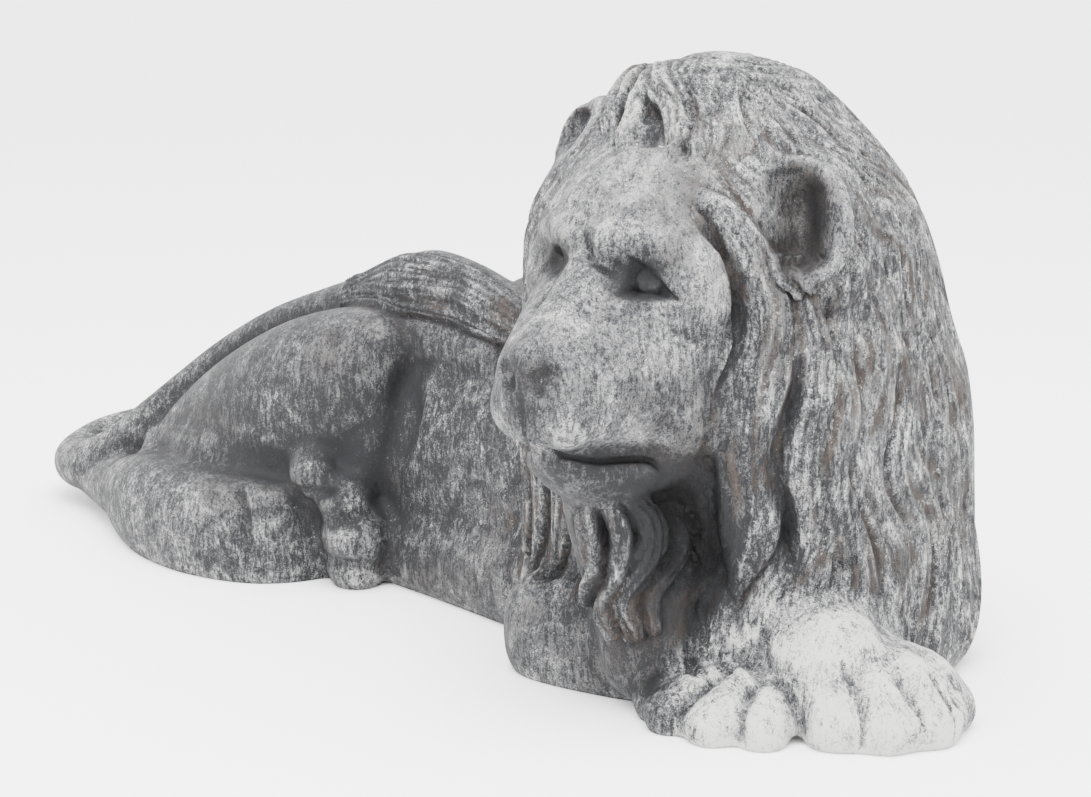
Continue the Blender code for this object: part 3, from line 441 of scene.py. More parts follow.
@dataclass(frozen=True)
class Body:
    """The barrel of the body from rump to shoulders."""

    trunk: Path = (
        (-0.740, -0.050, 0.015, 0.040, 0.030), (-0.700, -0.035, 0.025, 0.085, 0.045),
        (-0.640, -0.015, 0.050, 0.110, 0.062), (-0.575, 0.000, 0.090, 0.115, 0.085),
        (-0.500, 0.020, 0.110, 0.155, 0.105), (-0.400, 0.035, 0.125, 0.175, 0.135),
        (-0.280, 0.035, 0.140, 0.170, 0.168), (-0.150, 0.025, 0.155, 0.160, 0.180),
        (0.000, 0.020, 0.165, 0.165, 0.185), (0.150, 0.010, 0.175, 0.175, 0.190),
        (0.280, 0.000, 0.180, 0.150, 0.170))
    belly: Path = (
        (-0.500, 0.020, 0.030, 0.140, 0.055), (-0.300, 0.030, 0.035, 0.165, 0.070),
        (-0.100, 0.010, 0.040, 0.160, 0.080), (0.100, 0.000, 0.045, 0.175, 0.085),
        (0.250, -0.010, 0.045, 0.180, 0.085))
    neck: Path = (
        (-0.10, 0.010, 0.220, 0.120, 0.130), (0.05, 0.010, 0.260, 0.130, 0.150),
        (0.20, -0.020, 0.330, 0.140, 0.170))
    far_hip: Ball = Ball((-0.37, 0.13, 0.075), (0.19, 0.095, 0.095))
    far_shoulder: Ball = Ball((0.10, 0.12, 0.17), (0.14, 0.10, 0.16))

    def lay(self, clay: Clay) -> None:
        """Lays on trunk, belly, neck, hip and shoulder.

        Args:
            clay: What the forms are laid on.
        """
        clay.loft(self.trunk, ALONG, UP, square=2.15, rings=40)
        clay.loft(self.belly, ALONG, UP, square=2.6)
        clay.loft(self.neck, ALONG, UP)
        clay.balls((self.far_hip, self.far_shoulder))


@dataclass(frozen=True)
class Mane:
    """The mane: one great bell with wavy ridges that run down it from a parting on the crown."""

    rings: Path = (
        (0.255, -0.020, -0.020, 0.185, 0.175, 2.8), (0.255, -0.020, 0.010, 0.212, 0.195, 2.8),
        (0.255, -0.020, 0.060, 0.222, 0.205, 2.8), (0.250, -0.020, 0.150, 0.215, 0.202, 2.8),
        (0.262, -0.045, 0.280, 0.203, 0.212, 2.7), (0.259, -0.065, 0.390, 0.192, 0.210, 2.3),
        (0.260, -0.082, 0.455, 0.190, 0.198, 2.1), (0.267, -0.092, 0.512, 0.163, 0.174, 2.0),
        (0.273, -0.104, 0.564, 0.120, 0.130, 2.0), (0.275, -0.112, 0.606, 0.077, 0.084, 2.0),
        (0.275, -0.118, 0.627, 0.012, 0.012, 2.0))
    parting: tuple[float, float] = (0.288, -0.185)
    crown: tuple[float, float] = (0.42, 0.62)
    depth: float = 0.0100
    strand_depth: float = 0.0018
    strands: int = 3
    ridge_sets: tuple[tuple[float, ...], ...] = ((32, 0.014, 0.19, 0.4, 1.0), (23, 0.022, 0.27, 2.3, 0.92))

    def lay(self, clay: Clay) -> None:
        """Lays on the bell.

        Args:
            clay: What the forms are laid on.
        """
        clay.loft(self.rings, ACROSS, ALONG, rings=60, sides=64)

    @staticmethod
    def ridges(turn: np.ndarray, down: np.ndarray, radius: np.ndarray, count: float, sway: float,
               length: float, start: float) -> tuple[np.ndarray, np.ndarray]:
        """Works out wavy ridges that run down the mane.

        Args:
            turn: Each point's turn about the mane's middle.
            down: How far down the mane it is.
            radius: How far from the middle.
            count: How many ridges go round.
            sway: How far they sway from side to side.
            length: The length of one sway.
            start: Where the pattern starts.

        Returns:
            Each point's place among the ridges, a whole number in each groove, and its swayed turn.
        """
        bend = sway*np.sin(2*pi*down/length + start + 1.3*np.sin(2*turn + start) + 0.8*np.sin(5*turn - start))
        swayed = turn + bend/radius
        place = (swayed + 0.12*np.sin(3*turn + 2*start) + 0.04*np.sin(7*turn - start))*count/(2*pi) + start
        return place, swayed

    def comb(self, skin: Skin, bald: list[np.ndarray]) -> None:
        """Combs the mane's skin into ridges.

        Args:
            skin: What is combed.
            bald: Masks, 1 where there are no ridges.
        """
        points = skin.points
        rows = smooth_curve(self.rings, 200)
        z = np.clip(points[:, 2], rows[0, 2], rows[-1, 2] - 0.002)
        cx, cy, rx, ry, n = (np.interp(z, rows[:, 2], rows[:, k]) for k in (0, 1, 3, 4, 5))
        dx, dy = points[:, 0] - cx, points[:, 1] - cy
        away = np.abs((np.abs(dx/rx)**n + np.abs(dy/ry)**n)**(1/n) - 1)
        top = soft_step((points[:, 2] - self.crown[0])/(self.crown[1] - self.crown[0]))
        ax = points[:, 0] - (cx*(1 - top) + self.parting[0]*top)
        ay = points[:, 1] - (cy*(1 - top) + self.parting[1]*top)
        turn, radius = np.arctan2(ax, -ay), np.maximum(np.hypot(ax, ay), 0.05)
        down = rows[-1, 2] - points[:, 2] + np.hypot(dx, dy)
        combed = np.clip((0.16 - away)/0.06, 0, 1)*np.clip(points[:, 2]/0.03, 0, 1)
        for mask in bald:
            combed *= 1 - mask
        height, fine, swayed = np.zeros(len(points)), np.zeros(len(points)), turn
        for *waves, share in self.ridge_sets:
            place, swayed = self.ridges(turn, down, radius, *waves)
            across = 2*(place - np.floor(place)) - 1
            full = share*(0.86 + 0.14*np.sin(2.4*np.floor(place) + 9*down))
            ridge = full*np.sqrt(1 - across**2)
            higher = ridge > height
            height[higher] = ridge[higher]
            fine[higher] = 0.5*np.cos(2*pi*self.strands*place[higher])
        spread = soft_step((radius - 0.06)/0.10)
        skin.relief = combed*(self.depth*(height - 0.8) - self.strand_depth*fine*spread)
        skin.hair = np.maximum(skin.hair, combed)
        round_about = 0.2
        skin.strand = np.stack([np.sin(swayed)*round_about, np.cos(swayed)*round_about, down], 1)


@dataclass(frozen=True)
class HindLegs:
    """The near thigh with its knee up, the near foot flat on its side, and the other paw's stacked toes."""

    thigh: Path = (
        (-0.600, -0.120, 0.095, 0.020, 0.020), (-0.570, -0.118, 0.110, 0.045, 0.045),
        (-0.500, -0.118, 0.137, 0.065, 0.077), (-0.420, -0.121, 0.163, 0.079, 0.100),
        (-0.340, -0.124, 0.186, 0.083, 0.112), (-0.260, -0.122, 0.207, 0.078, 0.108),
        (-0.205, -0.118, 0.218, 0.064, 0.092), (-0.170, -0.116, 0.228, 0.040, 0.056),
        (-0.160, -0.116, 0.230, 0.010, 0.015))
    shin: Path = (
        (-0.215, -0.115, 0.20, 0.055), (-0.225, -0.120, 0.15, 0.050), (-0.235, -0.130, 0.11, 0.042))
    hock: Path = (
        (-0.56, -0.14, 0.090, 0.045), (-0.42, -0.160, 0.118, 0.055), (-0.31, -0.148, 0.125, 0.048))
    foot: Path = (
        (-0.615, -0.175, 0.050, 0.012, 0.012), (-0.600, -0.182, 0.045, 0.035, 0.040),
        (-0.550, -0.194, 0.045, 0.050, 0.058), (-0.470, -0.213, 0.046, 0.058, 0.068),
        (-0.380, -0.218, 0.046, 0.062, 0.070), (-0.300, -0.202, 0.045, 0.058, 0.070),
        (-0.260, -0.180, 0.045, 0.045, 0.062), (-0.245, -0.170, 0.045, 0.010, 0.020))
    creases: tuple[Path, ...] = (
        ((-0.316, -0.237, 0.112), (-0.295, -0.247, 0.071), (-0.290, -0.250, 0.010)),
        ((-0.262, -0.205, 0.112), (-0.244, -0.198, 0.060), (-0.232, -0.192, 0.028)))
    toes: Path = (
        (-0.247, -0.184, 0.132, 0.031), (-0.214, -0.168, 0.104, 0.034), (-0.205, -0.160, 0.062, 0.042),
        (-0.213, -0.152, 0.024, 0.038))
    under_thigh: Path = (
        (-0.585, -0.160, 0.108), (-0.530, -0.180, 0.108), (-0.470, -0.195, 0.102), (-0.400, -0.200, 0.099),
        (-0.335, -0.195, 0.106), (-0.290, -0.182, 0.118))
    between_toes: tuple[Path, ...] = (
        ((-0.262, -0.208, 0.116), (-0.225, -0.208, 0.114), (-0.192, -0.182, 0.118)),
        ((-0.248, -0.206, 0.086), (-0.205, -0.206, 0.083), (-0.168, -0.180, 0.086)),
        ((-0.250, -0.196, 0.036), (-0.210, -0.202, 0.034), (-0.168, -0.180, 0.036)))
    beside_thigh: Path = (
        (-0.150, -0.125, 0.255), (-0.145, -0.140, 0.205), (-0.160, -0.150, 0.150), (-0.175, -0.150, 0.110))
    behind_toes: Ball = Ball((-0.245, -0.130, 0.075), (0.050, 0.042, 0.065))

    def lay(self, clay: Clay) -> None:
        """Lays on thigh, shin, hock, foot and toes.

        Args:
            clay: What the forms are laid on.
        """
        clay.loft(self.thigh, ALONG, (0.25, 0, 1), square=2.3, rings=30)
        clay.roll(self.shin)
        clay.roll(self.hock)
        clay.loft(self.foot, (0.25, 1, 0), UP, square=2.6, rings=30)
        for x, y, z, r in self.toes:
            clay.roll([(x - 0.05, y + 0.05, z*0.95, r*0.9), (x - 0.01, y + 0.01, z, r),
                       (x + 0.005, y - 0.006, z - 0.002, r*0.92)], 8)
        clay.balls((self.behind_toes,))

    def press(self, skin: Skin) -> None:
        """Presses in the folds under and beside the thigh and the creases between the toes.

        Args:
            skin: What is carved.
        """
        skin.press(Mark(self.under_thigh, 0.024, -0.008, taper=0.15),
                   Mark(self.under_thigh, 0.010, -0.005, taper=0.15),
                   Mark(self.beside_thigh, 0.026, -0.012, taper=0.3))
        for crease in self.creases + self.between_toes:
            skin.press(Mark(crease, 0.015, -0.005, taper=0.2), Mark(crease, 0.007, -0.005, taper=0.2))


@dataclass(frozen=True)
class Forelegs:
    """The near foreleg, whose paw lies over the other paw."""

    leg: Path = (
        (0.106, -0.215, 0.042, 0.015, 0.020), (0.112, -0.212, 0.042, 0.036, 0.048),
        (0.150, -0.208, 0.042, 0.056, 0.064), (0.220, -0.200, 0.045, 0.058, 0.066),
        (0.290, -0.188, 0.052, 0.054, 0.062), (0.350, -0.165, 0.066, 0.050, 0.052),
        (0.410, -0.130, 0.068, 0.050, 0.050))
    wrist: tuple[float, float] = (0.400, -0.122)
    aim: float = -22.0
    paw: Path = (
        (-0.07, -0.014, 0.072, 0.050, 0.050), (-0.03, -0.008, 0.070, 0.058, 0.055),
        (0.02, 0.000, 0.060, 0.064, 0.056), (0.06, 0.004, 0.046, 0.070, 0.050),
        (0.09, 0.008, 0.035, 0.070, 0.040), (0.11, 0.015, 0.025, 0.050, 0.025))
    toes: tuple[tuple[float, ...], ...] = (
        (0.482, -0.187, 0.032), (0.519, -0.160, 0.033), (0.540, -0.121, 0.033), (0.532, -0.078, 0.029))
    lower_toes: tuple[tuple[float, ...], ...] = (
        (0.346, -0.196, 0.318, -0.248, 0.024), (0.376, -0.200, 0.346, -0.262, 0.027),
        (0.402, -0.195, 0.393, -0.258, 0.028), (0.426, -0.185, 0.433, -0.234, 0.029))
    back: Ball = Ball((0.438, -0.150, 0.060), (0.068, 0.056, 0.060))
    creases: tuple[tuple[Path, float, float], ...] = (
        (((0.480, -0.178, 0.080), (0.492, -0.183, 0.065), (0.503, -0.184, 0.050), (0.514, -0.190, 0.036),
          (0.519, -0.194, 0.021), (0.520, -0.198, 0.001)), 0.006, 0.005),
        (((0.517, -0.150, 0.069), (0.531, -0.152, 0.055), (0.545, -0.151, 0.043), (0.560, -0.153, 0.020)),
         0.006, 0.003),
        (((0.528, -0.122, 0.070), (0.537, -0.120, 0.064), (0.554, -0.120, 0.048), (0.566, -0.121, 0.030),
          (0.572, -0.120, 0.004)), 0.006, 0.004),
        (((0.548, -0.100, 0.050), (0.560, -0.106, 0.040), (0.570, -0.108, 0.034)), 0.006, 0.004),
        (((0.330, -0.215, 0.056), (0.327, -0.245, 0.048), (0.318, -0.261, 0.030), (0.308, -0.262, 0.012)),
         0.007, 0.006),
        (((0.388, -0.212, 0.060), (0.382, -0.240, 0.050), (0.373, -0.264, 0.034), (0.365, -0.280, 0.018),
          (0.362, -0.286, 0.000)), 0.006, 0.006),
        (((0.420, -0.212, 0.060), (0.421, -0.236, 0.046), (0.424, -0.250, 0.034), (0.428, -0.258, 0.020),
          (0.428, -0.262, 0.000)), 0.006, 0.006),
        (((0.385, -0.204, 0.072), (0.405, -0.208, 0.066), (0.425, -0.212, 0.060),
          (0.446, -0.214, 0.052), (0.458, -0.216, 0.036), (0.464, -0.216, 0.020), (0.464, -0.218, 0.000)),
         0.009, 0.010),
        (((0.335, -0.212, 0.122), (0.342, -0.214, 0.104), (0.346, -0.214, 0.085), (0.352, -0.212, 0.070)),
         0.011, 0.009),
        (((0.474, -0.166, 0.093), (0.484, -0.152, 0.088), (0.497, -0.142, 0.081)), 0.004, 0.004))
    lower_leg: Path = (
        (0.42, 0.02, 0.045, 0.050), (0.41, -0.08, 0.045, 0.050), (0.395, -0.16, 0.030, 0.045))

    def on_paw(self, forward: float, across: float, height: float) -> Place:
        """Finds a place on the upper paw.

        Args:
            forward: How far it is forward from the wrist.
            across: How far to the side.
            height: How high.

        Returns:
            The place.
        """
        c, s = cos(radians(self.aim)), sin(radians(self.aim))
        return self.wrist[0] + c*forward - s*across, self.wrist[1] + s*forward + c*across, height

    def lay(self, clay: Clay) -> None:
        """Lays on the leg and both paws.

        Args:
            clay: What the forms are laid on.
        """
        clay.loft(self.leg, ALONG, UP, square=2.5, rings=26)
        side = (-sin(radians(self.aim)), cos(radians(self.aim)), 0)
        clay.loft([self.on_paw(*row[:3]) + row[3:] for row in self.paw], side, UP, square=2.3, rings=20)
        wx, wy = self.wrist
        for x, y, r in self.toes:
            clay.roll([(0.55*x + 0.45*wx, 0.55*y + 0.45*wy, 0.056, r*0.85),
                       (0.82*x + 0.18*wx, 0.82*y + 0.18*wy, 0.044, r), (x, y, 0.018, r*1.03)], 12)
        clay.balls((self.back,))
        for (ax, ay, _), (bx, by, _) in zip(self.toes, self.toes[1:]):
            x, y = (ax + bx)/2, (ay + by)/2
            clay.balls((Ball((x + 0.002, y - 0.002, 0.018), (0.029, 0.029, 0.030)),
                        Ball((x - 0.022, y + 0.008, 0.040), (0.034, 0.034, 0.031))))
        for x0, y0, x1, y1, r in self.lower_toes:
            clay.roll([(x0, y0 + 0.03, 0.035, r*0.9), (x0, y0, 0.034, r*0.95),
                       ((x0 + x1)/2, (y0 + y1)/2, 0.030, r), (x1, y1, 0.014, r*0.98)], 12)
        clay.roll(self.lower_leg)

    def bald(self, points: np.ndarray) -> np.ndarray:
        """Gives a mask of the upper paw and its wrist.

        Args:
            points: The skin's points.

        Returns:
            1 for each point where no mane grows, to 0.
        """
        (x, y, z), (long, wide, high) = self.back.centre, self.back.radii
        reach = np.sqrt(((points[:, 0] - x)/(long + 0.03))**2 + ((points[:, 1] - y - 0.01)/(wide + 0.02))**2
                        + ((points[:, 2] - z)/(high + 0.006))**2)
        return soft_step(8*(1.12 - reach))

    def press(self, skin: Skin) -> None:
        """Presses in the creases between the toes of both paws.

        Args:
            skin: What is carved.
        """
        for path, width, depth in self.creases:
            skin.press(Mark(path, width*2.2, -depth*0.5, taper=0.25),
                       Mark(path, width*0.8, -depth*0.7, taper=0.25))


@dataclass(frozen=True)
class Tail:
    """The tail, which comes from the far side of the rump, turns back and lies along the back to its tuft."""

    run: Path = (
        (-0.560, 0.100, 0.075, 0.045), (-0.660, 0.070, 0.070, 0.040), (-0.745, 0.005, 0.068, 0.036),
        (-0.782, -0.075, 0.060, 0.034), (-0.762, -0.145, 0.050, 0.033), (-0.705, -0.165, 0.055, 0.034),
        (-0.655, -0.150, 0.082, 0.034), (-0.615, -0.125, 0.124, 0.030), (-0.575, -0.098, 0.166, 0.028),
        (-0.520, -0.078, 0.212, 0.026), (-0.440, -0.066, 0.258, 0.025), (-0.360, -0.060, 0.289, 0.025),
        (-0.290, -0.060, 0.311, 0.027))
    tuft: Path = (
        (-0.32, -0.058, 0.302, 0.024, 0.020), (-0.26, -0.060, 0.317, 0.040, 0.032),
        (-0.19, -0.062, 0.335, 0.046, 0.042), (-0.12, -0.066, 0.334, 0.042, 0.038),
        (-0.05, -0.075, 0.325, 0.036, 0.030), (0.02, -0.085, 0.315, 0.028, 0.020))
    on_ground: Path = (
        (-0.705, -0.157, 0.045, 0.034), (-0.655, -0.170, 0.042, 0.036), (-0.600, -0.182, 0.045, 0.044))
    under: Path = (
        (-0.26, -0.070, 0.282, 0.034), (-0.19, -0.074, 0.288, 0.042), (-0.12, -0.078, 0.284, 0.042),
        (-0.05, -0.090, 0.275, 0.035))
    locks: int = 4
    spread: float = 0.018

    def lay(self, clay: Clay) -> None:
        """Lays on the tail and the mass of its tuft.

        Args:
            clay: What the forms are laid on.
        """
        clay.roll(self.run, 110)
        clay.roll(self.on_ground)
        clay.roll(self.under)
        clay.loft(self.tuft, (0, 0.86, 0.5), (0, -0.5, 0.86))

    def hair(self) -> list[Lock]:
        """Lists the tuft's locks, side by side along the back.

        Returns:
            The locks.
        """
        locks = []
        for k in range(self.locks):
            o = (k - 1.4)*self.spread
            locks.append(Lock([(-0.31, -0.070, 0.311 + o*0.2, 0.016), (-0.24, -0.080, 0.331 + o*0.8, 0.024),
                               (-0.17, -0.088, 0.345 + o*0.8, 0.026), (-0.10, -0.090, 0.345 + o*0.8, 0.026),
                               (-0.04, -0.095, 0.330 + o*0.7, 0.022), (0.02, -0.105, 0.318 + o*0.5, 0.014)],
                              0.008, 3))
        return locks


@dataclass(frozen=True)
class Ear:
    """A round ear with a soft rim and a deep hollow."""

    centre: Place
    size: tuple[float, float]
    rim: float
    arc: tuple[float, float]
    side: int

    def lay(self, clay: Clay) -> None:
        """Lays on the rim.

        Args:
            clay: What the forms are laid on.
        """
        (x, y, z), (wide, high), (start, sweep) = self.centre, self.size, self.arc
        turns = [radians(start + sweep*k/8) for k in range(9)]
        clay.roll([(x + self.side*(wide*cos(a) - 0.27*high*sin(a)), y + 0.6*wide*cos(a) + 0.27*high*sin(a),
                    z + high*sin(a), self.rim) for a in turns], 40, pose=HEAD)


@dataclass(frozen=True)
class Head:
    """Skull, face, nose and jaw, about the point between the eyes: +X is the near cheek and -Y the nose."""

    face: Path = (
        (0, -0.105, -0.100, 0.010, 0.014), (0, -0.101, -0.099, 0.028, 0.034),
        (0, -0.090, -0.096, 0.045, 0.047),
        (0, -0.070, -0.093, 0.059, 0.056), (0, -0.040, -0.088, 0.075, 0.068),
        (0, 0.000, -0.079, 0.094, 0.086),
        (0, 0.035, -0.070, 0.107, 0.094), (0, 0.075, -0.062, 0.114, 0.097), (0, 0.120, -0.050, 0.112, 0.100))
    bridge: Path = (
        (0, 0.030, 0.024, 0.032, 0.026), (0, 0.000, -0.003, 0.028, 0.028), (0, -0.035, -0.034, 0.026, 0.028),
        (0, -0.066, -0.058, 0.028, 0.026), (0, -0.082, -0.072, 0.026, 0.018),
        (0, -0.088, -0.077, 0.018, 0.012))
    jaw: Path = (
        (0, -0.080, -0.156, 0.006, 0.006), (0, -0.073, -0.160, 0.018, 0.013),
        (0, -0.056, -0.168, 0.029, 0.024),
        (0, -0.030, -0.176, 0.040, 0.031), (0, 0.000, -0.176, 0.054, 0.038), (0, 0.050, -0.160, 0.085, 0.050))
    throat: Path = (
        (0.280, -0.292, 0.228, 0.036), (0.278, -0.268, 0.198, 0.046), (0.280, -0.240, 0.155, 0.056),
        (0.285, -0.225, 0.100, 0.056), (0.290, -0.222, 0.050, 0.050))
    brow: Path = (
        (0.014, 0.004, 0.036, 0.015), (0.030, 0.008, 0.036, 0.020), (0.052, 0.020, 0.036, 0.022),
        (0.074, 0.036, 0.024, 0.021), (0.090, 0.052, 0.002, 0.018))
    skull: tuple[Ball, ...] = (
        Ball((0, 0.125, 0.020), (0.112, 0.130, 0.115)),
        Ball((0, 0.052, 0.034), (0.074, 0.060, 0.052), (-40, 0, 0), 2.3))
    nose: tuple[Ball, ...] = (
        Ball((0, -0.083, -0.060), (0.026, 0.023, 0.017), (35, 0, 0), 2.4),
        Ball((0, -0.092, -0.078), (0.015, 0.016, 0.022)))
    both_sides: tuple[Ball, ...] = (
        Ball((0.024, -0.078, -0.069), (0.012, 0.017, 0.013)),
        Ball((0.026, -0.072, -0.110), (0.030, 0.032, 0.036)),
        Ball((0.074, 0.052, -0.014), (0.040, 0.045, 0.056)),
        Ball((0.066, 0.046, -0.112), (0.044, 0.052, 0.062)),
        Ball((0.026, 0.032, 0.050), (0.032, 0.034, 0.026), (-40, 0, 0)))
    behind_ears: tuple[Ball, ...] = (
        Ball((0.137, 0.138, 0.044), (0.043, 0.036, 0.060), (-8, 10, 25)),
        Ball((0.130, 0.164, 0.022), (0.052, 0.055, 0.095), (0, 0, 25)),
        Ball((-0.107, 0.122, 0.092), (0.033, 0.032, 0.052), (-8, -10, -25)))
    mouth: Path = (
        (0, -0.100, -0.135), (0.016, -0.078, -0.149), (0.032, -0.045, -0.161), (0.044, -0.018, -0.163),
        (0.056, 0.004, -0.165), (0.064, 0.016, -0.175))
    nostril: Path = (
        (0.036, -0.092, -0.076), (0.026, -0.097, -0.073), (0.017, -0.102, -0.080), (0.016, -0.103, -0.094))
    lines: tuple[Mark, ...] = tuple(
        Mark(path, width, height, None, True, taper) for path, width, height, taper in (
        (((-0.030, -0.012, 0.008), (-0.033, -0.030, -0.016), (-0.034, -0.052, -0.038),
          (-0.034, -0.070, -0.056)),
         0.008, -0.006, 0.25),
        (((0, -0.112, -0.084), (0, -0.106, -0.132)), 0.007, -0.007, 0.0),
        (((0.026, 0.030, 0.088), (0.012, 0.016, 0.070), (0.000, 0.000, 0.052), (-0.010, -0.008, 0.038)),
         0.016, -0.007, 0.3),
        (((-0.008, -0.009, 0.039), (0.003, -0.014, 0.022), (0.012, -0.018, 0.013), (0.021, -0.016, 0.008),
          (0.031, -0.007, 0.003)), 0.006, -0.006, 0.25),
        (((0.000, -0.006, 0.048), (0.012, -0.006, 0.032), (0.024, -0.008, 0.022)), 0.010, 0.004, 0.0),
        (((0.001, -0.024, 0.010), (0.012, -0.025, 0.001), (0.026, -0.016, -0.004)), 0.004, -0.002, 0.0)))
    near_eye: tuple[tuple[float, float], ...] = ((0.043, 0.019), (0.039, -0.013), (0.090, -0.015))
    far_eye: tuple[tuple[float, float], ...] = ((0.044, 0.016), (0.043, -0.008), (0.068, -0.010))
    pupil: tuple[float, float] = (0.054, -0.003)
    near_ear: Ear = Ear((0.144, 0.116, 0.049), (0.034, 0.051), 0.0095, (-90, 360), 1)
    far_ear: Ear = Ear((-0.102, 0.118, 0.110), (0.022, 0.030), 0.010, (-90, 360), -1)

    def lay(self, clay: Clay) -> None:
        """Lays on the head's masses.

        Args:
            clay: What the forms are laid on.
        """
        clay.balls(self.skull, HEAD)
        clay.loft(self.face, ACROSS, UP, square=2.25, rings=34, pose=HEAD)
        clay.loft(self.bridge, ACROSS, (0, -0.64, 0.77), square=2.6, rings=20, pose=HEAD)
        clay.loft(self.jaw, ACROSS, UP, square=2.2, rings=18, pose=HEAD)
        clay.roll(self.throat)
        clay.balls(self.nose, HEAD)
        for s in (-1, 1):
            clay.balls([ball.on_side(s) for ball in self.both_sides], HEAD)
            clay.roll([(s*x, y, z, r) for x, y, z, r in self.brow], 16, pose=HEAD)
        clay.balls(self.behind_ears, HEAD)

    def bald(self, points: np.ndarray) -> list[np.ndarray]:
        """Gives masks of the face and the ears.

        Args:
            points: The skin's points.

        Returns:
            Masks that are 1 where no mane grows.
        """
        x, y, z = ((points - np.array(HEAD.translation)) @ np.array(HEAD.to_3x3())).T
        masks = [soft_step(6*(1.15 - np.hypot(x/0.112, (z + 0.045)/0.175)))*soft_step((0.095 - y)/0.03)]
        for ear in (self.near_ear, self.far_ear):
            (ex, ey, ez), (wide, high) = ear.centre, ear.size
            reach = np.sqrt(((x - ex)/(wide + 0.010))**2 + ((y - ey)/0.042)**2 + ((z - ez)/(high + 0.010))**2)
            masks.append(soft_step(8*(1.12 - reach)))
        return masks

    def press_ears(self, skin: Skin) -> None:
        """Presses in the ears' hollows.

        Args:
            skin: What is carved.
        """
        x, y, z = self.near_ear.centre
        into = (-0.50, 0.86, 0)
        bowl = [(x - 0.008, y - 0.002, z + 0.022), (x - 0.004, y - 0.010, z), (x, y - 0.014, z - 0.034)]
        skin.press(Mark(bowl, 0.041, 0.022, into, True))
        skin.settle()
        depth = [(x - 0.002, y + 0.006, z + 0.018), (x + 0.003, y + 0.002, z),
                 (x + 0.002, y - 0.004, z - 0.024)]
        skin.press(Mark(depth, 0.030, 0.024, into, True))
        x, y, z = self.far_ear.centre
        far_bowl = [(x - 0.010, y - 0.018, z + 0.020), (x - 0.012, y - 0.018, z)]
        skin.press(Mark(far_bowl, 0.022, 0.020, (0.1, 1, 0), True))
        skin.settle()

    def press_eye(self, skin: Skin, side: int) -> None:
        """Cuts one eye: a three-cornered socket under the brow, deepest by the nose, with the eyeball in it.

        Args:
            skin: What is carved.
            side: 1 for the near eye or -1 for the far one.
        """
        x, y, z = ((skin.points - np.array(HEAD.translation)) @ np.array(HEAD.to_3x3())).T
        x, z = x*side, z - (0.005 if side < 0 else 0.0)
        (ax, az), (bx, bz), (cx, cz) = self.near_eye if side > 0 else self.far_eye
        below = ((cx - ax)*(az - z) - (az - cz)*(x - ax))/np.hypot(cx - ax, az - cz)
        above = (z - bz - (cz - bz)*(x - bx)/(cx - bx))
        inward = x - bx
        front = soft_step((0.050 - y)/0.01)
        inside = soft_step(below/0.007 + 0.5)*soft_step(above/0.005 + 0.5)*soft_step(inward/0.009 + 0.5)*front
        far = np.hypot(x - self.pupil[0], z - self.pupil[1])
        floor = 0.0075 + 0.15*(x - bx) - 0.0080*np.sqrt(np.clip(1 - (far/0.0140)**2, 0, 1))
        floor += 0.0022*np.exp(-(far/0.0028)**2) - 0.0006*np.exp(-((far - 0.0060)/0.0014)**2)
        brow = 0.0045*np.exp(-((below + 0.005)/0.0065)**2)*soft_step((x - ax + 0.006)/0.012)
        brow *= soft_step((cx + 0.010 - x)/0.02)
        lid = 0.0026*np.exp(-((above + 0.0030)/0.0028)**2)*soft_step((x - bx)/0.010)*soft_step((cx - x)/0.012)
        move = inside*np.maximum(floor - y, 0) - (brow + lid)*front
        skin.points += move[:, None]*np.array(HEAD.to_3x3() @ Vector(ALONG))
        skin.settle()

    def press_face(self, skin: Skin) -> None:
        """Cuts the eyes, nostrils, mouth and frown.

        Args:
            skin: What is carved.
        """
        for s in (-1, 1):
            self.press_eye(skin, s)
            mouth = [(x*s, y, z) for x, y, z in self.mouth]
            for below, width, height in ((0.013, 0.014, 0.005), (0.006, 0.008, 0.003)):
                lip = [(x, y, z - below) for x, y, z in mouth[1:]]
                skin.press(Mark(lip, width, height, on_head=True, taper=0.2))
                skin.settle()
            nostril = [(x*s, y, z) for x, y, z in self.nostril]
            skin.press(Mark(mouth, 0.004, -0.0045, on_head=True, taper=0.06),
                       Mark(nostril, 0.011, -0.007, on_head=True, taper=0.15))
            skin.settle()
        skin.press(*self.lines)
        skin.settle()


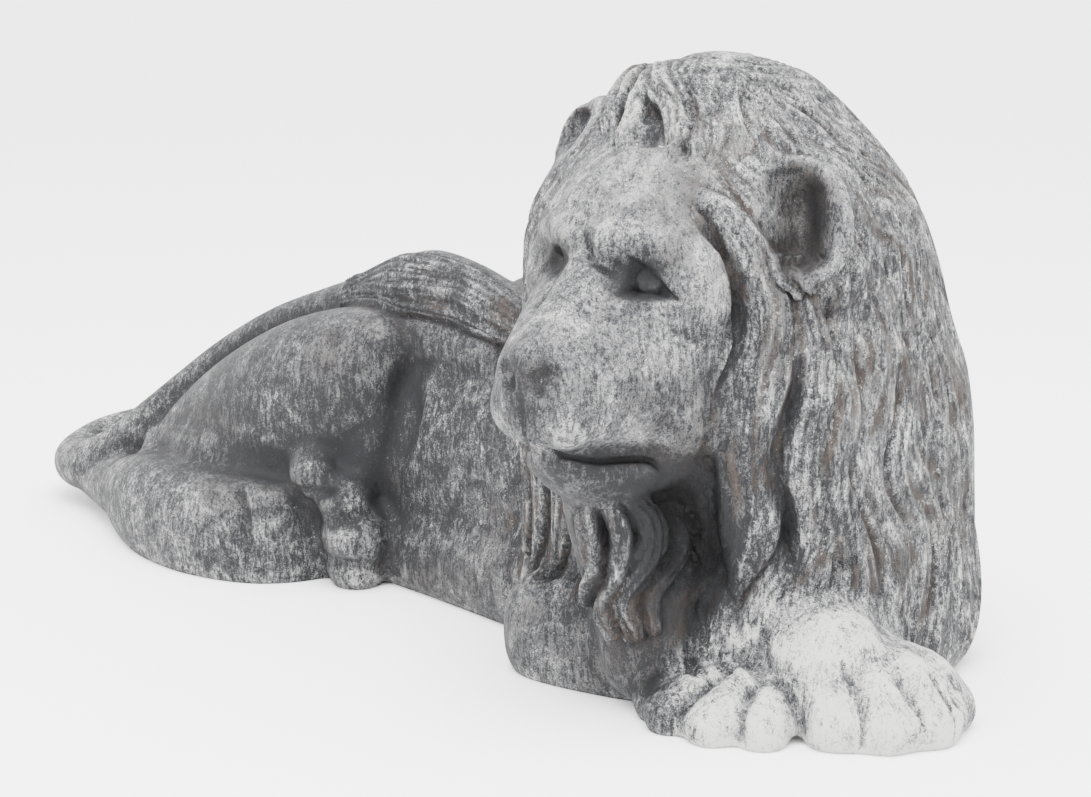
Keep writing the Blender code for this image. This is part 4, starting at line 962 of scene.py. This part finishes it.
@dataclass(frozen=True)
class Hair:
    """The locks that frame the cheek, the beard, the forelock and the strands on the far shoulder."""

    beside_cheek: tuple[Lock, ...] = (
        Lock([(0.452, -0.140, 0.400, 0.030), (0.450, -0.150, 0.350, 0.042), (0.452, -0.146, 0.300, 0.046),
              (0.446, -0.157, 0.250, 0.044), (0.446, -0.147, 0.200, 0.040),
              (0.448, -0.130, 0.160, 0.024)], 0.004, 4,
             fade=0.06),
        Lock([(0.426, -0.182, 0.420, 0.030), (0.434, -0.173, 0.365, 0.042), (0.438, -0.176, 0.319, 0.050),
              (0.435, -0.186, 0.278, 0.046), (0.429, -0.184, 0.244, 0.044), (0.432, -0.174, 0.208, 0.044),
              (0.430, -0.168, 0.177, 0.034), (0.424, -0.170, 0.150, 0.012)], 0.006, 4, fade=0.05),
        Lock([(0.352, -0.246, 0.508, 0.018), (0.372, -0.232, 0.494, 0.028), (0.390, -0.222, 0.467, 0.038),
              (0.404, -0.214, 0.434, 0.044), (0.411, -0.208, 0.395, 0.052), (0.406, -0.218, 0.350, 0.072),
              (0.403, -0.222, 0.312, 0.078), (0.400, -0.221, 0.270, 0.064), (0.399, -0.212, 0.232, 0.064),
              (0.392, -0.204, 0.192, 0.066), (0.382, -0.202, 0.158, 0.044), (0.377, -0.203, 0.124, 0.010)],
             0.010, 5, groove=0.16, fade=0.06))
    beard: tuple[Lock, ...] = (
        Lock([(0.324, -0.233, 0.208, 0.020), (0.330, -0.230, 0.183, 0.026), (0.333, -0.238, 0.166, 0.028),
              (0.330, -0.255, 0.149, 0.028), (0.325, -0.269, 0.132, 0.026), (0.322, -0.269, 0.113, 0.026),
              (0.327, -0.261, 0.088, 0.014)], 0.010, 3),
        Lock([(0.318, -0.285, 0.224, 0.028), (0.322, -0.266, 0.194, 0.036), (0.322, -0.269, 0.173, 0.038),
              (0.316, -0.277, 0.152, 0.036), (0.306, -0.282, 0.132, 0.034), (0.303, -0.280, 0.110, 0.034),
              (0.312, -0.271, 0.080, 0.018)], 0.011, 4),
        Lock([(0.309, -0.312, 0.222, 0.018), (0.312, -0.300, 0.198, 0.024), (0.309, -0.295, 0.175, 0.026),
              (0.298, -0.293, 0.150, 0.028), (0.285, -0.289, 0.128, 0.028), (0.283, -0.283, 0.108, 0.028),
              (0.293, -0.277, 0.080, 0.016)], 0.014, 2),
        Lock([(0.290, -0.325, 0.221, 0.018), (0.287, -0.315, 0.195, 0.024), (0.284, -0.305, 0.170, 0.024),
              (0.282, -0.297, 0.148, 0.022), (0.264, -0.287, 0.126, 0.020),
              (0.250, -0.280, 0.104, 0.010)], 0.011, 2))
    forelock: tuple[Lock, ...] = tuple(
        Lock(path, rise, strands, True, 0.35, 0.035) for path, rise, strands in (
        ([(0.036, 0.155, 0.168, 0.030), (0.058, 0.110, 0.152, 0.036), (0.072, 0.102, 0.136, 0.034),
          (0.082, 0.095, 0.118, 0.026), (0.086, 0.084, 0.098, 0.012)], 0.005, 4),
        ([(0.022, 0.155, 0.174, 0.030), (0.040, 0.104, 0.157, 0.036), (0.054, 0.095, 0.143, 0.034),
          (0.066, 0.086, 0.124, 0.028), (0.071, 0.074, 0.100, 0.012)], 0.006, 4),
        ([(0.004, 0.145, 0.177, 0.032), (0.021, 0.102, 0.162, 0.038), (0.041, 0.091, 0.148, 0.036),
          (0.052, 0.083, 0.133, 0.030), (0.059, 0.074, 0.115, 0.022),
          (0.061, 0.063, 0.096, 0.010)], 0.008, 4),
        ([(-0.058, 0.155, 0.172, 0.028), (-0.058, 0.120, 0.162, 0.036), (-0.052, 0.099, 0.149, 0.034),
          (-0.044, 0.081, 0.134, 0.028), (-0.033, 0.061, 0.113, 0.012)], 0.010, 3),
        ([(-0.018, 0.135, 0.176, 0.028), (-0.021, 0.105, 0.166, 0.032), (-0.020, 0.090, 0.152, 0.030),
          (-0.018, 0.075, 0.136, 0.026), (-0.012, 0.058, 0.117, 0.020),
          (0.000, 0.042, 0.100, 0.010)], 0.010, 3),
        ([(-0.020, 0.130, 0.176, 0.030), (-0.006, 0.104, 0.167, 0.038), (0.010, 0.094, 0.160, 0.038),
          (0.025, 0.086, 0.148, 0.034), (0.034, 0.077, 0.134, 0.030), (0.040, 0.066, 0.118, 0.022),
          (0.040, 0.054, 0.100, 0.010)], 0.011, 4)))
    creases: tuple[Mark, ...] = tuple(
        Mark(path, width, -depth, None, on_head) for path, width, depth, on_head in (
        (((0.431, -0.184, 0.365), (0.431, -0.186, 0.338), (0.427, -0.198, 0.307), (0.421, -0.204, 0.274),
          (0.418, -0.201, 0.244), (0.421, -0.189, 0.212), (0.421, -0.181, 0.183), (0.408, -0.186, 0.147)),
         0.013, 0.014, False),
        (((0.359, -0.253, 0.489), (0.373, -0.244, 0.470), (0.383, -0.238, 0.457), (0.390, -0.233, 0.440),
          (0.394, -0.231, 0.412), (0.394, -0.229, 0.381), (0.391, -0.240, 0.355), (0.389, -0.250, 0.333),
          (0.389, -0.255, 0.312), (0.382, -0.248, 0.284)), 0.008, 0.011, False),
        (((0.304, -0.317, 0.220), (0.303, -0.307, 0.196), (0.300, -0.301, 0.175), (0.292, -0.294, 0.150),
          (0.276, -0.289, 0.129), (0.268, -0.281, 0.106), (0.272, -0.274, 0.082)), 0.010, 0.010, False),
        (((0.320, -0.250, 0.214), (0.329, -0.241, 0.187), (0.331, -0.246, 0.171), (0.326, -0.265, 0.153),
          (0.318, -0.273, 0.136), (0.315, -0.273, 0.118), (0.320, -0.267, 0.090)), 0.009, 0.008, False),
        (((-0.036, 0.112, 0.164), (-0.032, 0.090, 0.150), (-0.029, 0.077, 0.135), (-0.026, 0.064, 0.119)),
         0.009, 0.011, True),
        (((0.000, 0.084, 0.149), (0.007, 0.074, 0.136), (0.014, 0.064, 0.123), (0.016, 0.054, 0.111)),
         0.014, 0.010, True)))
    cheek_mass: Path = (
        (0.352, -0.232, 0.484, 0.014), (0.368, -0.214, 0.464, 0.020), (0.380, -0.202, 0.428, 0.024),
        (0.390, -0.188, 0.385, 0.026), (0.386, -0.197, 0.338, 0.028), (0.383, -0.201, 0.305, 0.028),
        (0.380, -0.200, 0.263, 0.027), (0.379, -0.191, 0.226, 0.027), (0.376, -0.183, 0.185, 0.027),
        (0.378, -0.178, 0.150, 0.026), (0.392, -0.170, 0.110, 0.022))
    shoulder: tuple[tuple[float, ...], ...] = (
        (0.185, 0.150, -0.232, 0.245), (0.150, 0.112, -0.212, 0.255), (0.120, 0.075, -0.190, 0.270))

    def shoulder_locks(self) -> list[Lock]:
        """Lists the strands that fall over the foreleg beside the beard.

        Returns:
            The locks.
        """
        return [Lock([(x0, y - 0.01, z, 0.024), (0.6*x0 + 0.4*x1, y, z*0.75, 0.032),
                      (0.2*x0 + 0.8*x1, y, z*0.55, 0.028), (x1, y, 0.100, 0.010)], 0.008, 3)
                for x0, x1, y, z in self.shoulder]


@dataclass(frozen=True)
class Cast:
    """The whole lead cast: all forms fused, carved, thinned and cut flat below.

    Attributes:
        behind_beard: The hollow that is pressed in beside the beard.
        fine_box: The corners of the box round the face, in the head's own axes, where the skin is finer.
        triangles: The most triangles the finished piece may have.
    """

    body: Body = Body()
    mane: Mane = Mane()
    hind_legs: HindLegs = HindLegs()
    forelegs: Forelegs = Forelegs()
    tail: Tail = Tail()
    head: Head = Head()
    hair: Hair = Hair()
    behind_beard: Mark = Mark(((0.350, -0.255, 0.190), (0.345, -0.235, 0.150)), 0.045, 0.020, ALONG)
    fine_box: tuple[Place, Place] = ((-0.100, -1.0, -0.215), (0.100, 0.035, 0.075))
    triangles: int = 196000

    def form(self) -> bpy.types.Mesh:
        """Fuses the big forms, then the limbs, tail and head with them.

        Returns:
            The smooth figure.
        """
        clay = Clay()
        self.body.lay(clay)
        self.mane.lay(clay)
        clay = Clay(clay.fuse(Grain.ROUGH))
        for part in (self.hind_legs, self.forelegs, self.tail, self.head):
            part.lay(clay)
        clay.roll(self.hair.cheek_mass, 40)
        skin = Skin(clay.fuse(Grain.FORM))
        skin.press(self.behind_beard)
        skin.settle()
        return skin.mesh

    def carve(self, form: bpy.types.Mesh) -> Skin:
        """Carves the figure: hair first, then ears, face and paws.

        Args:
            form: The smooth figure.

        Returns:
            The carved skin.
        """
        faces = [p.vertices[:] for p in form.polygons]
        ground = BVHTree.FromPolygons([v.co[:] for v in form.vertices], faces)
        clay = Clay(form)
        for ear in (self.head.near_ear, self.head.far_ear):
            ear.lay(clay)
        skin = Skin(self.refine_face(clay.fuse(Grain.CARVING)))
        self.mane.comb(skin, [*self.head.bald(skin.points), self.forelegs.bald(skin.points)])
        hair = self.hair
        locks = (*self.tail.hair(), *hair.shoulder_locks(), *hair.forelock, *hair.beard, *hair.beside_cheek)
        for lock in locks:
            lock.carve(skin, ground)
        skin.cut(hair.creases)
        skin.lift()
        self.head.press_ears(skin)
        self.head.press_face(skin)
        self.hind_legs.press(skin)
        self.forelegs.press(skin)
        skin.settle()
        return skin

    def refine_face(self, mesh: bpy.types.Mesh) -> bpy.types.Mesh:
        """Splits the skin of the face finer, for the eyes, nose and mouth.

        Args:
            mesh: The skin, which is changed.

        Returns:
            The same skin.
        """
        bit = bmesh.new()
        bit.from_mesh(mesh)
        inverse = HEAD.inverted()
        low, high = self.fine_box
        face = {v for v in bit.verts if all(a < c < b for a, c, b in zip(low, inverse @ v.co, high))}
        edges = [e for e in bit.edges if e.verts[0] in face and e.verts[1] in face]
        bmesh.ops.subdivide_edges(bit, edges=edges, cuts=1, use_grid_fill=True)
        bit.to_mesh(mesh)
        bit.free()
        return mesh

    def thin(self, skin: Skin) -> bpy.types.Mesh:
        """Thins the skin to its share of triangles and cuts its underside flat.

        Args:
            skin: The carved skin.

        Returns:
            The finished mesh, still in the clay's own place.
        """
        body = bpy.data.objects.new("skin", skin.mesh)
        bpy.context.scene.collection.objects.link(body)
        faces = sum(len(p.vertices) - 2 for p in skin.mesh.polygons)
        thin = body.modifiers.new("thin", "DECIMATE")
        thin.ratio = min(1.0, self.triangles/faces)
        mesh = bpy.data.meshes.new_from_object(body.evaluated_get(bpy.context.evaluated_depsgraph_get()))
        bpy.data.objects.remove(body)
        bit = bmesh.new()
        bit.from_mesh(mesh)
        whole = bit.verts[:] + bit.edges[:] + bit.faces[:]
        bmesh.ops.bisect_plane(bit, geom=whole, dist=1e-5, plane_co=(0, 0, 0), plane_no=(0, 0, -1),
                               clear_outer=True)
        rim = [e for e in bit.edges if e.is_boundary]
        bmesh.ops.triangle_fill(bit, edges=rim, use_beauty=True, normal=(0, 0, -1))
        bmesh.ops.triangulate(bit, faces=bit.faces)
        bit.to_mesh(mesh)
        bit.free()
        return mesh


@dataclass(frozen=True)
class WeatheringAndShade:
    """Marks of rain, grime and hands on the lead, with painted shade and top light, kept as attributes of the
    finished mesh.

    Attributes:
        stains_and_shades: The middle, half sizes and strength of each dark patch, on the lead itself or
            painted shade.
        face: The pale face, in the head's own axes.
        paw: The pale paws.
        fine: How often the skin is smoothed to find its fine grooves, and the depth that counts as full.
        broad: The same for its broad hollows.
        rays: How many rays find a point's shelter, which is painted as shade.
        reach: How long they are.
    """

    # Dark patches: the broad ones on the body darken the lead itself, while those in the eyes and ears, under
    # the chin, behind the beard and under and beside the thigh are painted shade.
    stains_and_shades: tuple[tuple[Place, Place, float], ...] = (
        ((-0.30, -0.05, 0.15), (0.36, 0.40, 0.30), 0.16), ((-0.36, -0.16, 0.20), (0.22, 0.12, 0.13), 0.20),
        ((-0.08, -0.10, 0.33), (0.20, 0.12, 0.08), 0.12), ((0.00, -0.16, 0.15), (0.12, 0.12, 0.20), 0.02),
        ((0.20, -0.23, 0.05), (0.17, 0.08, 0.09), 0.22), ((0.30, -0.28, 0.14), (0.08, 0.08, 0.11), 0.33),
        ((0.345, -0.23, 0.19), (0.035, 0.07, 0.08), 0.85), ((0.40, -0.215, 0.24), (0.045, 0.06, 0.14), 0.22),
        ((0.31, -0.34, 0.256), (0.07, 0.06, 0.026), 0.52), ((0.372, -0.27, 0.315), (0.030, 0.05, 0.07), 0.30),
        ((0.295, -0.405, 0.345), (0.030, 0.022, 0.030), 0.42),
        ((0.336, -0.300, 0.432), (0.026, 0.024, 0.018), 0.80),
        ((0.234, -0.300, 0.440), (0.018, 0.020, 0.015), 0.60),
        ((0.44, -0.10, 0.30), (0.06, 0.12, 0.30), 0.05),
        ((0.428, -0.165, 0.492), (0.018, 0.035, 0.026), 0.50),
        ((0.415, -0.19, 0.460), (0.020, 0.035, 0.026), 0.20),
        ((-0.19, -0.17, 0.19), (0.05, 0.06, 0.08), 0.16), ((-0.30, -0.20, 0.125), (0.10, 0.05, 0.025), 0.14),
        ((0.290, -0.395, 0.345), (0.075, 0.06, 0.05), 0.10))
    face: Ball = Ball((0, -0.02, -0.04), (0.115, 0.12, 0.17))
    paw: Ball = Ball((0.45, -0.17, 0.03), (0.13, 0.11, 0.085))
    fine: tuple[int, float] = (6, 0.0016)
    broad: tuple[int, float] = (60, 0.008)
    rays: int = 14
    reach: float = 0.11

    @staticmethod
    def smoothed(points: np.ndarray, edges: np.ndarray, rounds: int) -> np.ndarray:
        """Smooths points over their neighbours, without changing the mesh.

        Args:
            points: The mesh's points.
            edges: Pairs of point numbers.
            rounds: How many times.

        Returns:
            The smoothed points.
        """
        count = len(points)
        degree = np.maximum(np.bincount(edges.ravel(), minlength=count), 1)[:, None]
        for _ in range(rounds):
            total = np.zeros_like(points)
            for k in range(points.shape[1]):
                total[:, k] = (np.bincount(edges[:, 0], points[edges[:, 1], k], count)
                               + np.bincount(edges[:, 1], points[edges[:, 0], k], count))
            points = 0.4*points + 0.6*total/degree
        return points

    def shelter(self, points: np.ndarray, out: np.ndarray, tree: BVHTree) -> np.ndarray:
        """Finds how sheltered each point is, from short rays round its outward direction.

        Args:
            points: The mesh's points.
            out: Their outward directions.
            tree: What the rays may hit.

        Returns:
            0 for a point in the open to 1 for one that is closed in.
        """
        k = np.arange(self.rays) + 0.5
        tilt, turn = np.arccos(1 - 2*k/self.rays), pi*(1 + 5**0.5)*k
        fan = np.stack([np.cos(turn)*np.sin(tilt), np.sin(turn)*np.sin(tilt), np.cos(tilt)], 1)
        starts, ahead = points + out*0.003, out[:, None, :] + fan[None]*0.98
        closed = np.zeros(len(points))
        for n, (start, ways) in enumerate(zip(starts.tolist(), ahead.tolist())):
            for way in ways:
                far = tree.ray_cast(start, way, self.reach)[3]
                if far is not None:
                    closed[n] += 1 - 0.5*far/self.reach
        return closed/self.rays

    def mark(self, mesh: bpy.types.Mesh, carved: Skin) -> None:
        """Writes the attributes that the finish reads.

        Args:
            mesh: The finished mesh, still in the clay's own place.
            carved: The carved skin, which knows its hair.
        """
        final = Skin(mesh)
        edges = np.empty(len(mesh.edges)*2, np.int32)
        mesh.edges.foreach_get("vertices", edges)
        edges = edges.reshape(-1, 2)
        moves = ((self.smoothed(final.points, edges, rounds) - final.points, full)
                 for rounds, full in (self.fine, self.broad))
        groove, hollow = (np.clip((move*final.out).sum(1)/full, -1, 1) for move, full in moves)
        faces = [p.vertices[:] for p in carved.mesh.polygons]
        tree = BVHTree.FromPolygons([tuple(p) for p in carved.points], faces)
        corner = np.array([face[0] for face in faces])
        nearest = corner[[tree.find_nearest(p)[2] for p in final.points]]
        # Painted shade: how closed in each point is, from short rays round it, later darkens the colour.
        shade = self.smoothed(self.shelter(final.points, final.out, tree)[:, None], edges, 2)[:, 0]
        hair, strand = carved.hair[nearest], carved.strand[nearest]
        in_head = (final.points - np.array(HEAD.translation)) @ np.array(HEAD.to_3x3())
        face = soft_step(3*(1.45 - self.face.away(in_head)))
        paw = soft_step(3*(1.32 - self.paw.away(final.points)))
        crown = soft_step((final.points[:, 2] - 0.38)/0.20)
        front = soft_step((final.points[:, 0] + 0.05)/0.45)
        # Painted shade: faces that look down are made darker still.
        shade = shade + 0.10*np.clip(-final.out[:, 2], 0, 1)
        # Dark patches, partly the lead's own tone and partly painted shade in hollows and under forms.
        stain_and_shade = sum(strength*soft_step(1.6 - Ball(centre, radii).away(final.points))
                    for centre, radii, strength in self.stains_and_shades)
        # Pale regions of the lead, plus painted top light: faces that look up are made paler.
        upward = np.clip(final.out[:, 2], 0, 1)
        bloom_and_top_light = np.clip(0.30*front + 0.24*crown*front + 0.16*face + 0.20*upward + 0.85*paw, 0, 1)
        marks = {"groove": groove, "hollow": hollow, "hair": hair, "bloom_and_top_light": bloom_and_top_light, "paw": paw, "shade": shade,
                 "stain_and_shade": stain_and_shade}
        for name, values in marks.items():
            layer = mesh.attributes.new(name, "FLOAT", "POINT")
            layer.data.foreach_set("value", values.astype(np.float32))
        layer = mesh.attributes.new("strand", "FLOAT_VECTOR", "POINT")
        layer.data.foreach_set("vector", strand.astype(np.float32).ravel())


class Value:
    """A shader value that takes arithmetic, which adds the Math nodes for it."""

    def __init__(self, sheet: Sheet, socket: bpy.types.NodeSocket) -> None:
        """Holds a socket and the sheet it is on."""
        self.sheet, self.socket = sheet, socket

    def __add__(self, other: Value | float) -> Value:
        """Adds."""
        return self.sheet.maths("ADD", self, other)

    def __sub__(self, other: Value | float) -> Value:
        """Takes away."""
        return self.sheet.maths("SUBTRACT", self, other)

    def __rsub__(self, other: float) -> Value:
        """Takes this away from a number."""
        return self.sheet.maths("SUBTRACT", other, self)

    def __mul__(self, other: Value | float) -> Value:
        """Multiplies."""
        return self.sheet.maths("MULTIPLY", self, other)

    __radd__ = __add__
    __rmul__ = __mul__

    def between(self, low: float, high: float) -> Value:
        """Goes smoothly from 0 to 1.

        Args:
            low: Where it starts.
            high: Where it ends.

        Returns:
            The value from 0 to 1.
        """
        node = self.sheet.node("ShaderNodeMapRange", {"interpolation_type": "SMOOTHSTEP"}, Value=self)
        node.inputs["From Min"].default_value, node.inputs["From Max"].default_value = low, high
        return Value(self.sheet, node.outputs["Result"])


class Sheet:
    """A material's node tree."""

    def __init__(self, name: str) -> None:
        """Makes a material with a principled shader.

        Args:
            name: The material's name.
        """
        self.material = bpy.data.materials.new(name)
        self.material.use_nodes = True
        self.tree = self.material.node_tree
        self.shader = self.tree.nodes["Principled BSDF"]

    def node(self, kind: str, settings: dict[str, object] | None = None, **sockets: object) -> bpy.types.Node:
        """Adds a node.

        Args:
            kind: The node's type.
            settings: Its settings, which are set first.
            sockets: Values or links of its sockets, with _ for a space.

        Returns:
            The node.
        """
        made = self.tree.nodes.new(kind)
        for name, value in (settings or {}).items():
            setattr(made, name, value)
        for name, value in sockets.items():
            self.feed(made.inputs[name.replace("_", " ")], value)
        return made

    def feed(self, socket: bpy.types.NodeSocket, value: object) -> None:
        """Links or sets one socket.

        Args:
            socket: The socket.
            value: A Value to link or a constant to set.
        """
        if isinstance(value, Value):
            self.tree.links.new(value.socket, socket)
        else:
            socket.default_value = value

    def maths(self, operation: str, a: Value | float, b: Value | float = 0.0) -> Value:
        """Adds a Math node.

        Args:
            operation: What it does.
            a: Its first value.
            b: Its second value.

        Returns:
            Its result.
        """
        node = self.node("ShaderNodeMath", {"operation": operation})
        self.feed(node.inputs[0], a)
        self.feed(node.inputs[1], b)
        return Value(self, node.outputs[0])

    def attribute(self, name: str, output: str = "Fac") -> Value:
        """Reads an attribute of the mesh."""
        return Value(self, self.node("ShaderNodeAttribute", {"attribute_name": name}).outputs[output])

    def noise(self, scale: float, detail: float, rough: float = 0.55, place: Value | None = None,
              stretch: Place = (1, 1, 1), seed: float = 0.0, warp: float = 0.0) -> Value:
        """Adds a noise pattern.

        Args:
            scale: Its scale per metre.
            detail: Its octaves.
            rough: How strong its fine octaves are.
            place: Where it is read, or the object's own place.
            stretch: How the place is stretched first.
            seed: Shifts the pattern.
            warp: How much it is distorted.

        Returns:
            A value about 0.5.
        """
        if place is None:
            place = Value(self, self.node("ShaderNodeTexCoord").outputs["Object"])
        moved = self.node("ShaderNodeMapping", None, Vector=place, Location=(seed, seed*0.7, seed*1.3),
                          Scale=stretch)
        made = self.node("ShaderNodeTexNoise", None, Vector=Value(self, moved.outputs[0]), Scale=scale,
                         Detail=detail, Roughness=rough, Distortion=warp)
        return Value(self, made.outputs["Fac"])

    def mix(self, share: Value | float, a: object, b: object) -> Value:
        """Mixes two colours.

        Args:
            share: 0 for the first to 1 for the second.
            a: The first.
            b: The second.

        Returns:
            The mixed colour.
        """
        node = self.node("ShaderNodeMix", {"data_type": "RGBA"})
        self.feed(node.inputs[0], share)
        self.feed(node.inputs[6], a)
        self.feed(node.inputs[7], b)
        return Value(self, node.outputs[2])


@dataclass(frozen=True)
class WeatheredLead:
    """Old lead: mottled grey, white where rain and hands reach, brown grime in the hair, painted light and
    shade.
    """

    dark: Place = (0.016, 0.0165, 0.018)
    grey: Place = (0.085, 0.086, 0.089)
    pale: Place = (0.260, 0.262, 0.260)
    chalk: Place = (0.480, 0.475, 0.460)
    umber: Place = (0.036, 0.027, 0.022)
    # Near black, for painted shade where a point is closed in and for the darkest patches.
    soot_and_shade: Place = (0.006, 0.006, 0.0065)
    roughness: tuple[float, float] = (0.62, 0.90)
    metallic: float = 0.08
    shine: float = 0.12

    def make(self) -> bpy.types.Material:
        """Makes the material.

        Returns:
            The material.
        """
        s = Sheet("weathered lead")
        groove, hollow, hair = s.attribute("groove"), s.attribute("hollow"), s.attribute("hair")
        bloom_and_top_light, paw, shade, stain_and_shade = (s.attribute(name) for name in ("bloom_and_top_light", "paw", "shade", "stain_and_shade"))
        strand = s.attribute("strand", "Vector")
        broad = s.noise(7, 3)
        blotch = s.noise(32, 6, 0.66, seed=3, warp=0.8)
        mottle = s.noise(150, 5, 0.75, seed=7, warp=1.5)
        grain = s.noise(420, 2, 0.75, seed=11, warp=1.5)
        dust = s.noise(700, 1, seed=4)
        stroke = s.noise(230, 4, 0.7, stretch=(1, 1, 0.22), seed=9, warp=0.8)
        hairs = s.noise(260, 4, 0.6, place=strand, stretch=(1, 1, 0.05), seed=2)
        streak = s.noise(75, 4, 0.6, place=strand, stretch=(1, 1, 0.16), seed=5)

        fine = (mottle - 0.5)*2.6 + (grain - 0.5)*6.0 + (stroke - 0.5)*6.0 + (hairs - 0.5)*hair*4.5
        # Grey tone, darkened by painted shade where a point is closed in and by the dark patches, paler on
        # the pale regions and the painted top light.
        tone = ((broad - 0.5)*0.7 + (blotch - 0.5)*1.9 + fine*0.46 + bloom_and_top_light*0.34 + paw*0.25 - stain_and_shade*0.9
                - shade*0.5 - groove*0.20 - hollow*0.08 + 0.25)
        colour = s.mix(tone.between(-0.15, 0.60), (*self.dark, 1.0), (*self.grey, 1.0))
        colour = s.mix(tone.between(0.40, 1.20), colour, (*self.pale, 1.0))
        # Chalky white, kept off the dark patches and out of the painted shade.
        chalk = (fine*0.32 + (blotch - 0.5)*1.6 + paw*(0.40 - groove*0.40) - groove*0.25 - shade*0.5
                 - stain_and_shade*0.8 - 0.14)
        colour = s.mix(chalk.between(-0.05, 0.80)*0.95, colour, (*self.chalk, 1.0))
        # Brown grime along the hair's streaks and grooves, with painted shade making it browner where a point
        # is closed in.
        dirt_and_shade = (groove*0.10 + hollow*0.10 + (streak - 0.5)*3.4)*hair + shade*0.3 + (broad - 0.5)*1.2
        dirt_and_shade = dirt_and_shade + fine*0.25 - paw*0.6
        colour = s.mix(dirt_and_shade.between(0.06, 0.66)*0.85, colour, (*self.umber, 1.0))
        # Painted shade: darkens to near black where a point is closed in and on the darkest patches.
        deep = shade*0.9 + stain_and_shade*0.7 + hollow*0.10 + (blotch - 0.5)*0.9 + fine*0.22 - paw*0.45
        colour = s.mix(deep.between(0.50, 1.25)*0.92, colour, (*self.soot_and_shade, 1.0))
        # Chalk specks, fewer on the dark patches and in the painted shade.
        speck = (dust - 0.5)*1.4 + (mottle - 0.5)*1.8 + (blotch - 0.5)*1.2 - stain_and_shade*0.4 - shade*0.4 - 0.26
        colour = s.mix(speck.between(0.0, 0.20)*0.55, colour, (*self.chalk, 1.0))
        s.feed(s.shader.inputs["Base Color"], colour)

        low, high = self.roughness
        s.feed(s.shader.inputs["Roughness"], low + (high - low)*tone.between(0.0, 0.8))
        s.shader.inputs["Metallic"].default_value = self.metallic
        s.shader.inputs["Specular IOR Level"].default_value = self.shine
        height = grain*0.6 + mottle*1.1 + blotch*0.9 + hairs*hair*2.6
        bump = s.node("ShaderNodeBump", None, Strength=0.7, Distance=0.0018, Height=height)
        s.feed(s.shader.inputs["Normal"], Value(s, bump.outputs[0]))
        return s.material


@dataclass(frozen=True)
class Studio:
    """A pale floor, a soft light and the camera."""

    floor_size: float = 90.0
    floor_drop: float = 0.0004
    white: Place = (0.98, 0.98, 0.98)
    sky: float = 4.2
    light_place: Place = (0.9, -0.9, 3.2)
    light_aim: Place = (0.1, 0, 0.25)
    light_size: float = 2.2
    light_power: float = 300.0
    eye: Place = (1.60, -1.78, 0.765)
    look_down: float = 12.75
    azimuth: float = 43.0
    zoom: float = 2.0165

    def make(self, shift: Vector) -> None:
        """Makes the floor, the world, the light and the camera.

        Args:
            shift: From the clay's own place to the lion's.
        """
        plate = bmesh.new()
        bmesh.ops.create_grid(plate, x_segments=1, y_segments=1, size=self.floor_size/2)
        mesh = bpy.data.meshes.new("floor")
        plate.to_mesh(mesh)
        plate.free()
        floor = bpy.data.objects.new("floor", mesh)
        floor.location.z = -self.floor_drop
        bpy.context.scene.collection.objects.link(floor)
        white = Sheet("white floor")
        white.shader.inputs["Base Color"].default_value = (*self.white, 1.0)
        white.shader.inputs["Roughness"].default_value = 0.9
        mesh.materials.append(white.material)

        world = bpy.data.worlds.new("studio")
        world.use_nodes = True
        world.node_tree.nodes["Background"].inputs[0].default_value = (1, 1, 1, 1)
        world.node_tree.nodes["Background"].inputs[1].default_value = self.sky
        bpy.context.scene.world = world

        lamp = bpy.data.lights.new("soft light", "AREA")
        lamp.size, lamp.energy = self.light_size, self.light_power
        hung = bpy.data.objects.new("soft light", lamp)
        hung.location = self.light_place
        hung.rotation_euler = (Vector(self.light_aim) - hung.location).to_track_quat("-Z", "Y").to_euler()
        bpy.context.scene.collection.objects.link(hung)

        lens = bpy.data.cameras.new("camera")
        lens.lens = lens.sensor_width*self.zoom
        camera = bpy.data.objects.new("camera", lens)
        camera.location = Vector(self.eye) + shift
        camera.rotation_euler = (radians(90 - self.look_down), 0, radians(self.azimuth))
        bpy.context.scene.collection.objects.link(camera)
        bpy.context.scene.camera = camera


def main() -> None:
    """Builds the lion and its studio."""
    logging.basicConfig(level=logging.INFO, format="%(message)s")
    cast = Cast()
    form = cast.form()
    log.info("formed the figure: %d points", len(form.vertices))
    carved = cast.carve(form)
    log.info("carved it: %d points", len(carved.points))
    mesh = cast.thin(carved)
    WeatheringAndShade().mark(mesh, carved)
    low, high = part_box("lion")
    final = Skin(mesh)
    middle = (final.points.min(0) + final.points.max(0))/2
    shift = Vector(((low.x + high.x)/2 - middle[0], (low.y + high.y)/2 - middle[1], 0))
    mesh.transform(Matrix.Translation(shift))
    mesh.shade_smooth()
    mesh.materials.clear()
    mesh.materials.append(WeatheredLead().make())
    lion = bpy.data.objects.new("lion_cast", mesh)
    bpy.context.scene.collection.objects.link(lion)
    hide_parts("lion")
    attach(lion, "root")
    log.info("finished %s: %d triangles", lion.name, len(mesh.polygons))
    Studio().make(shift)
    log.info("shift %s", tuple(round(c, 4) for c in shift))


if __name__ == "__main__":
    main()
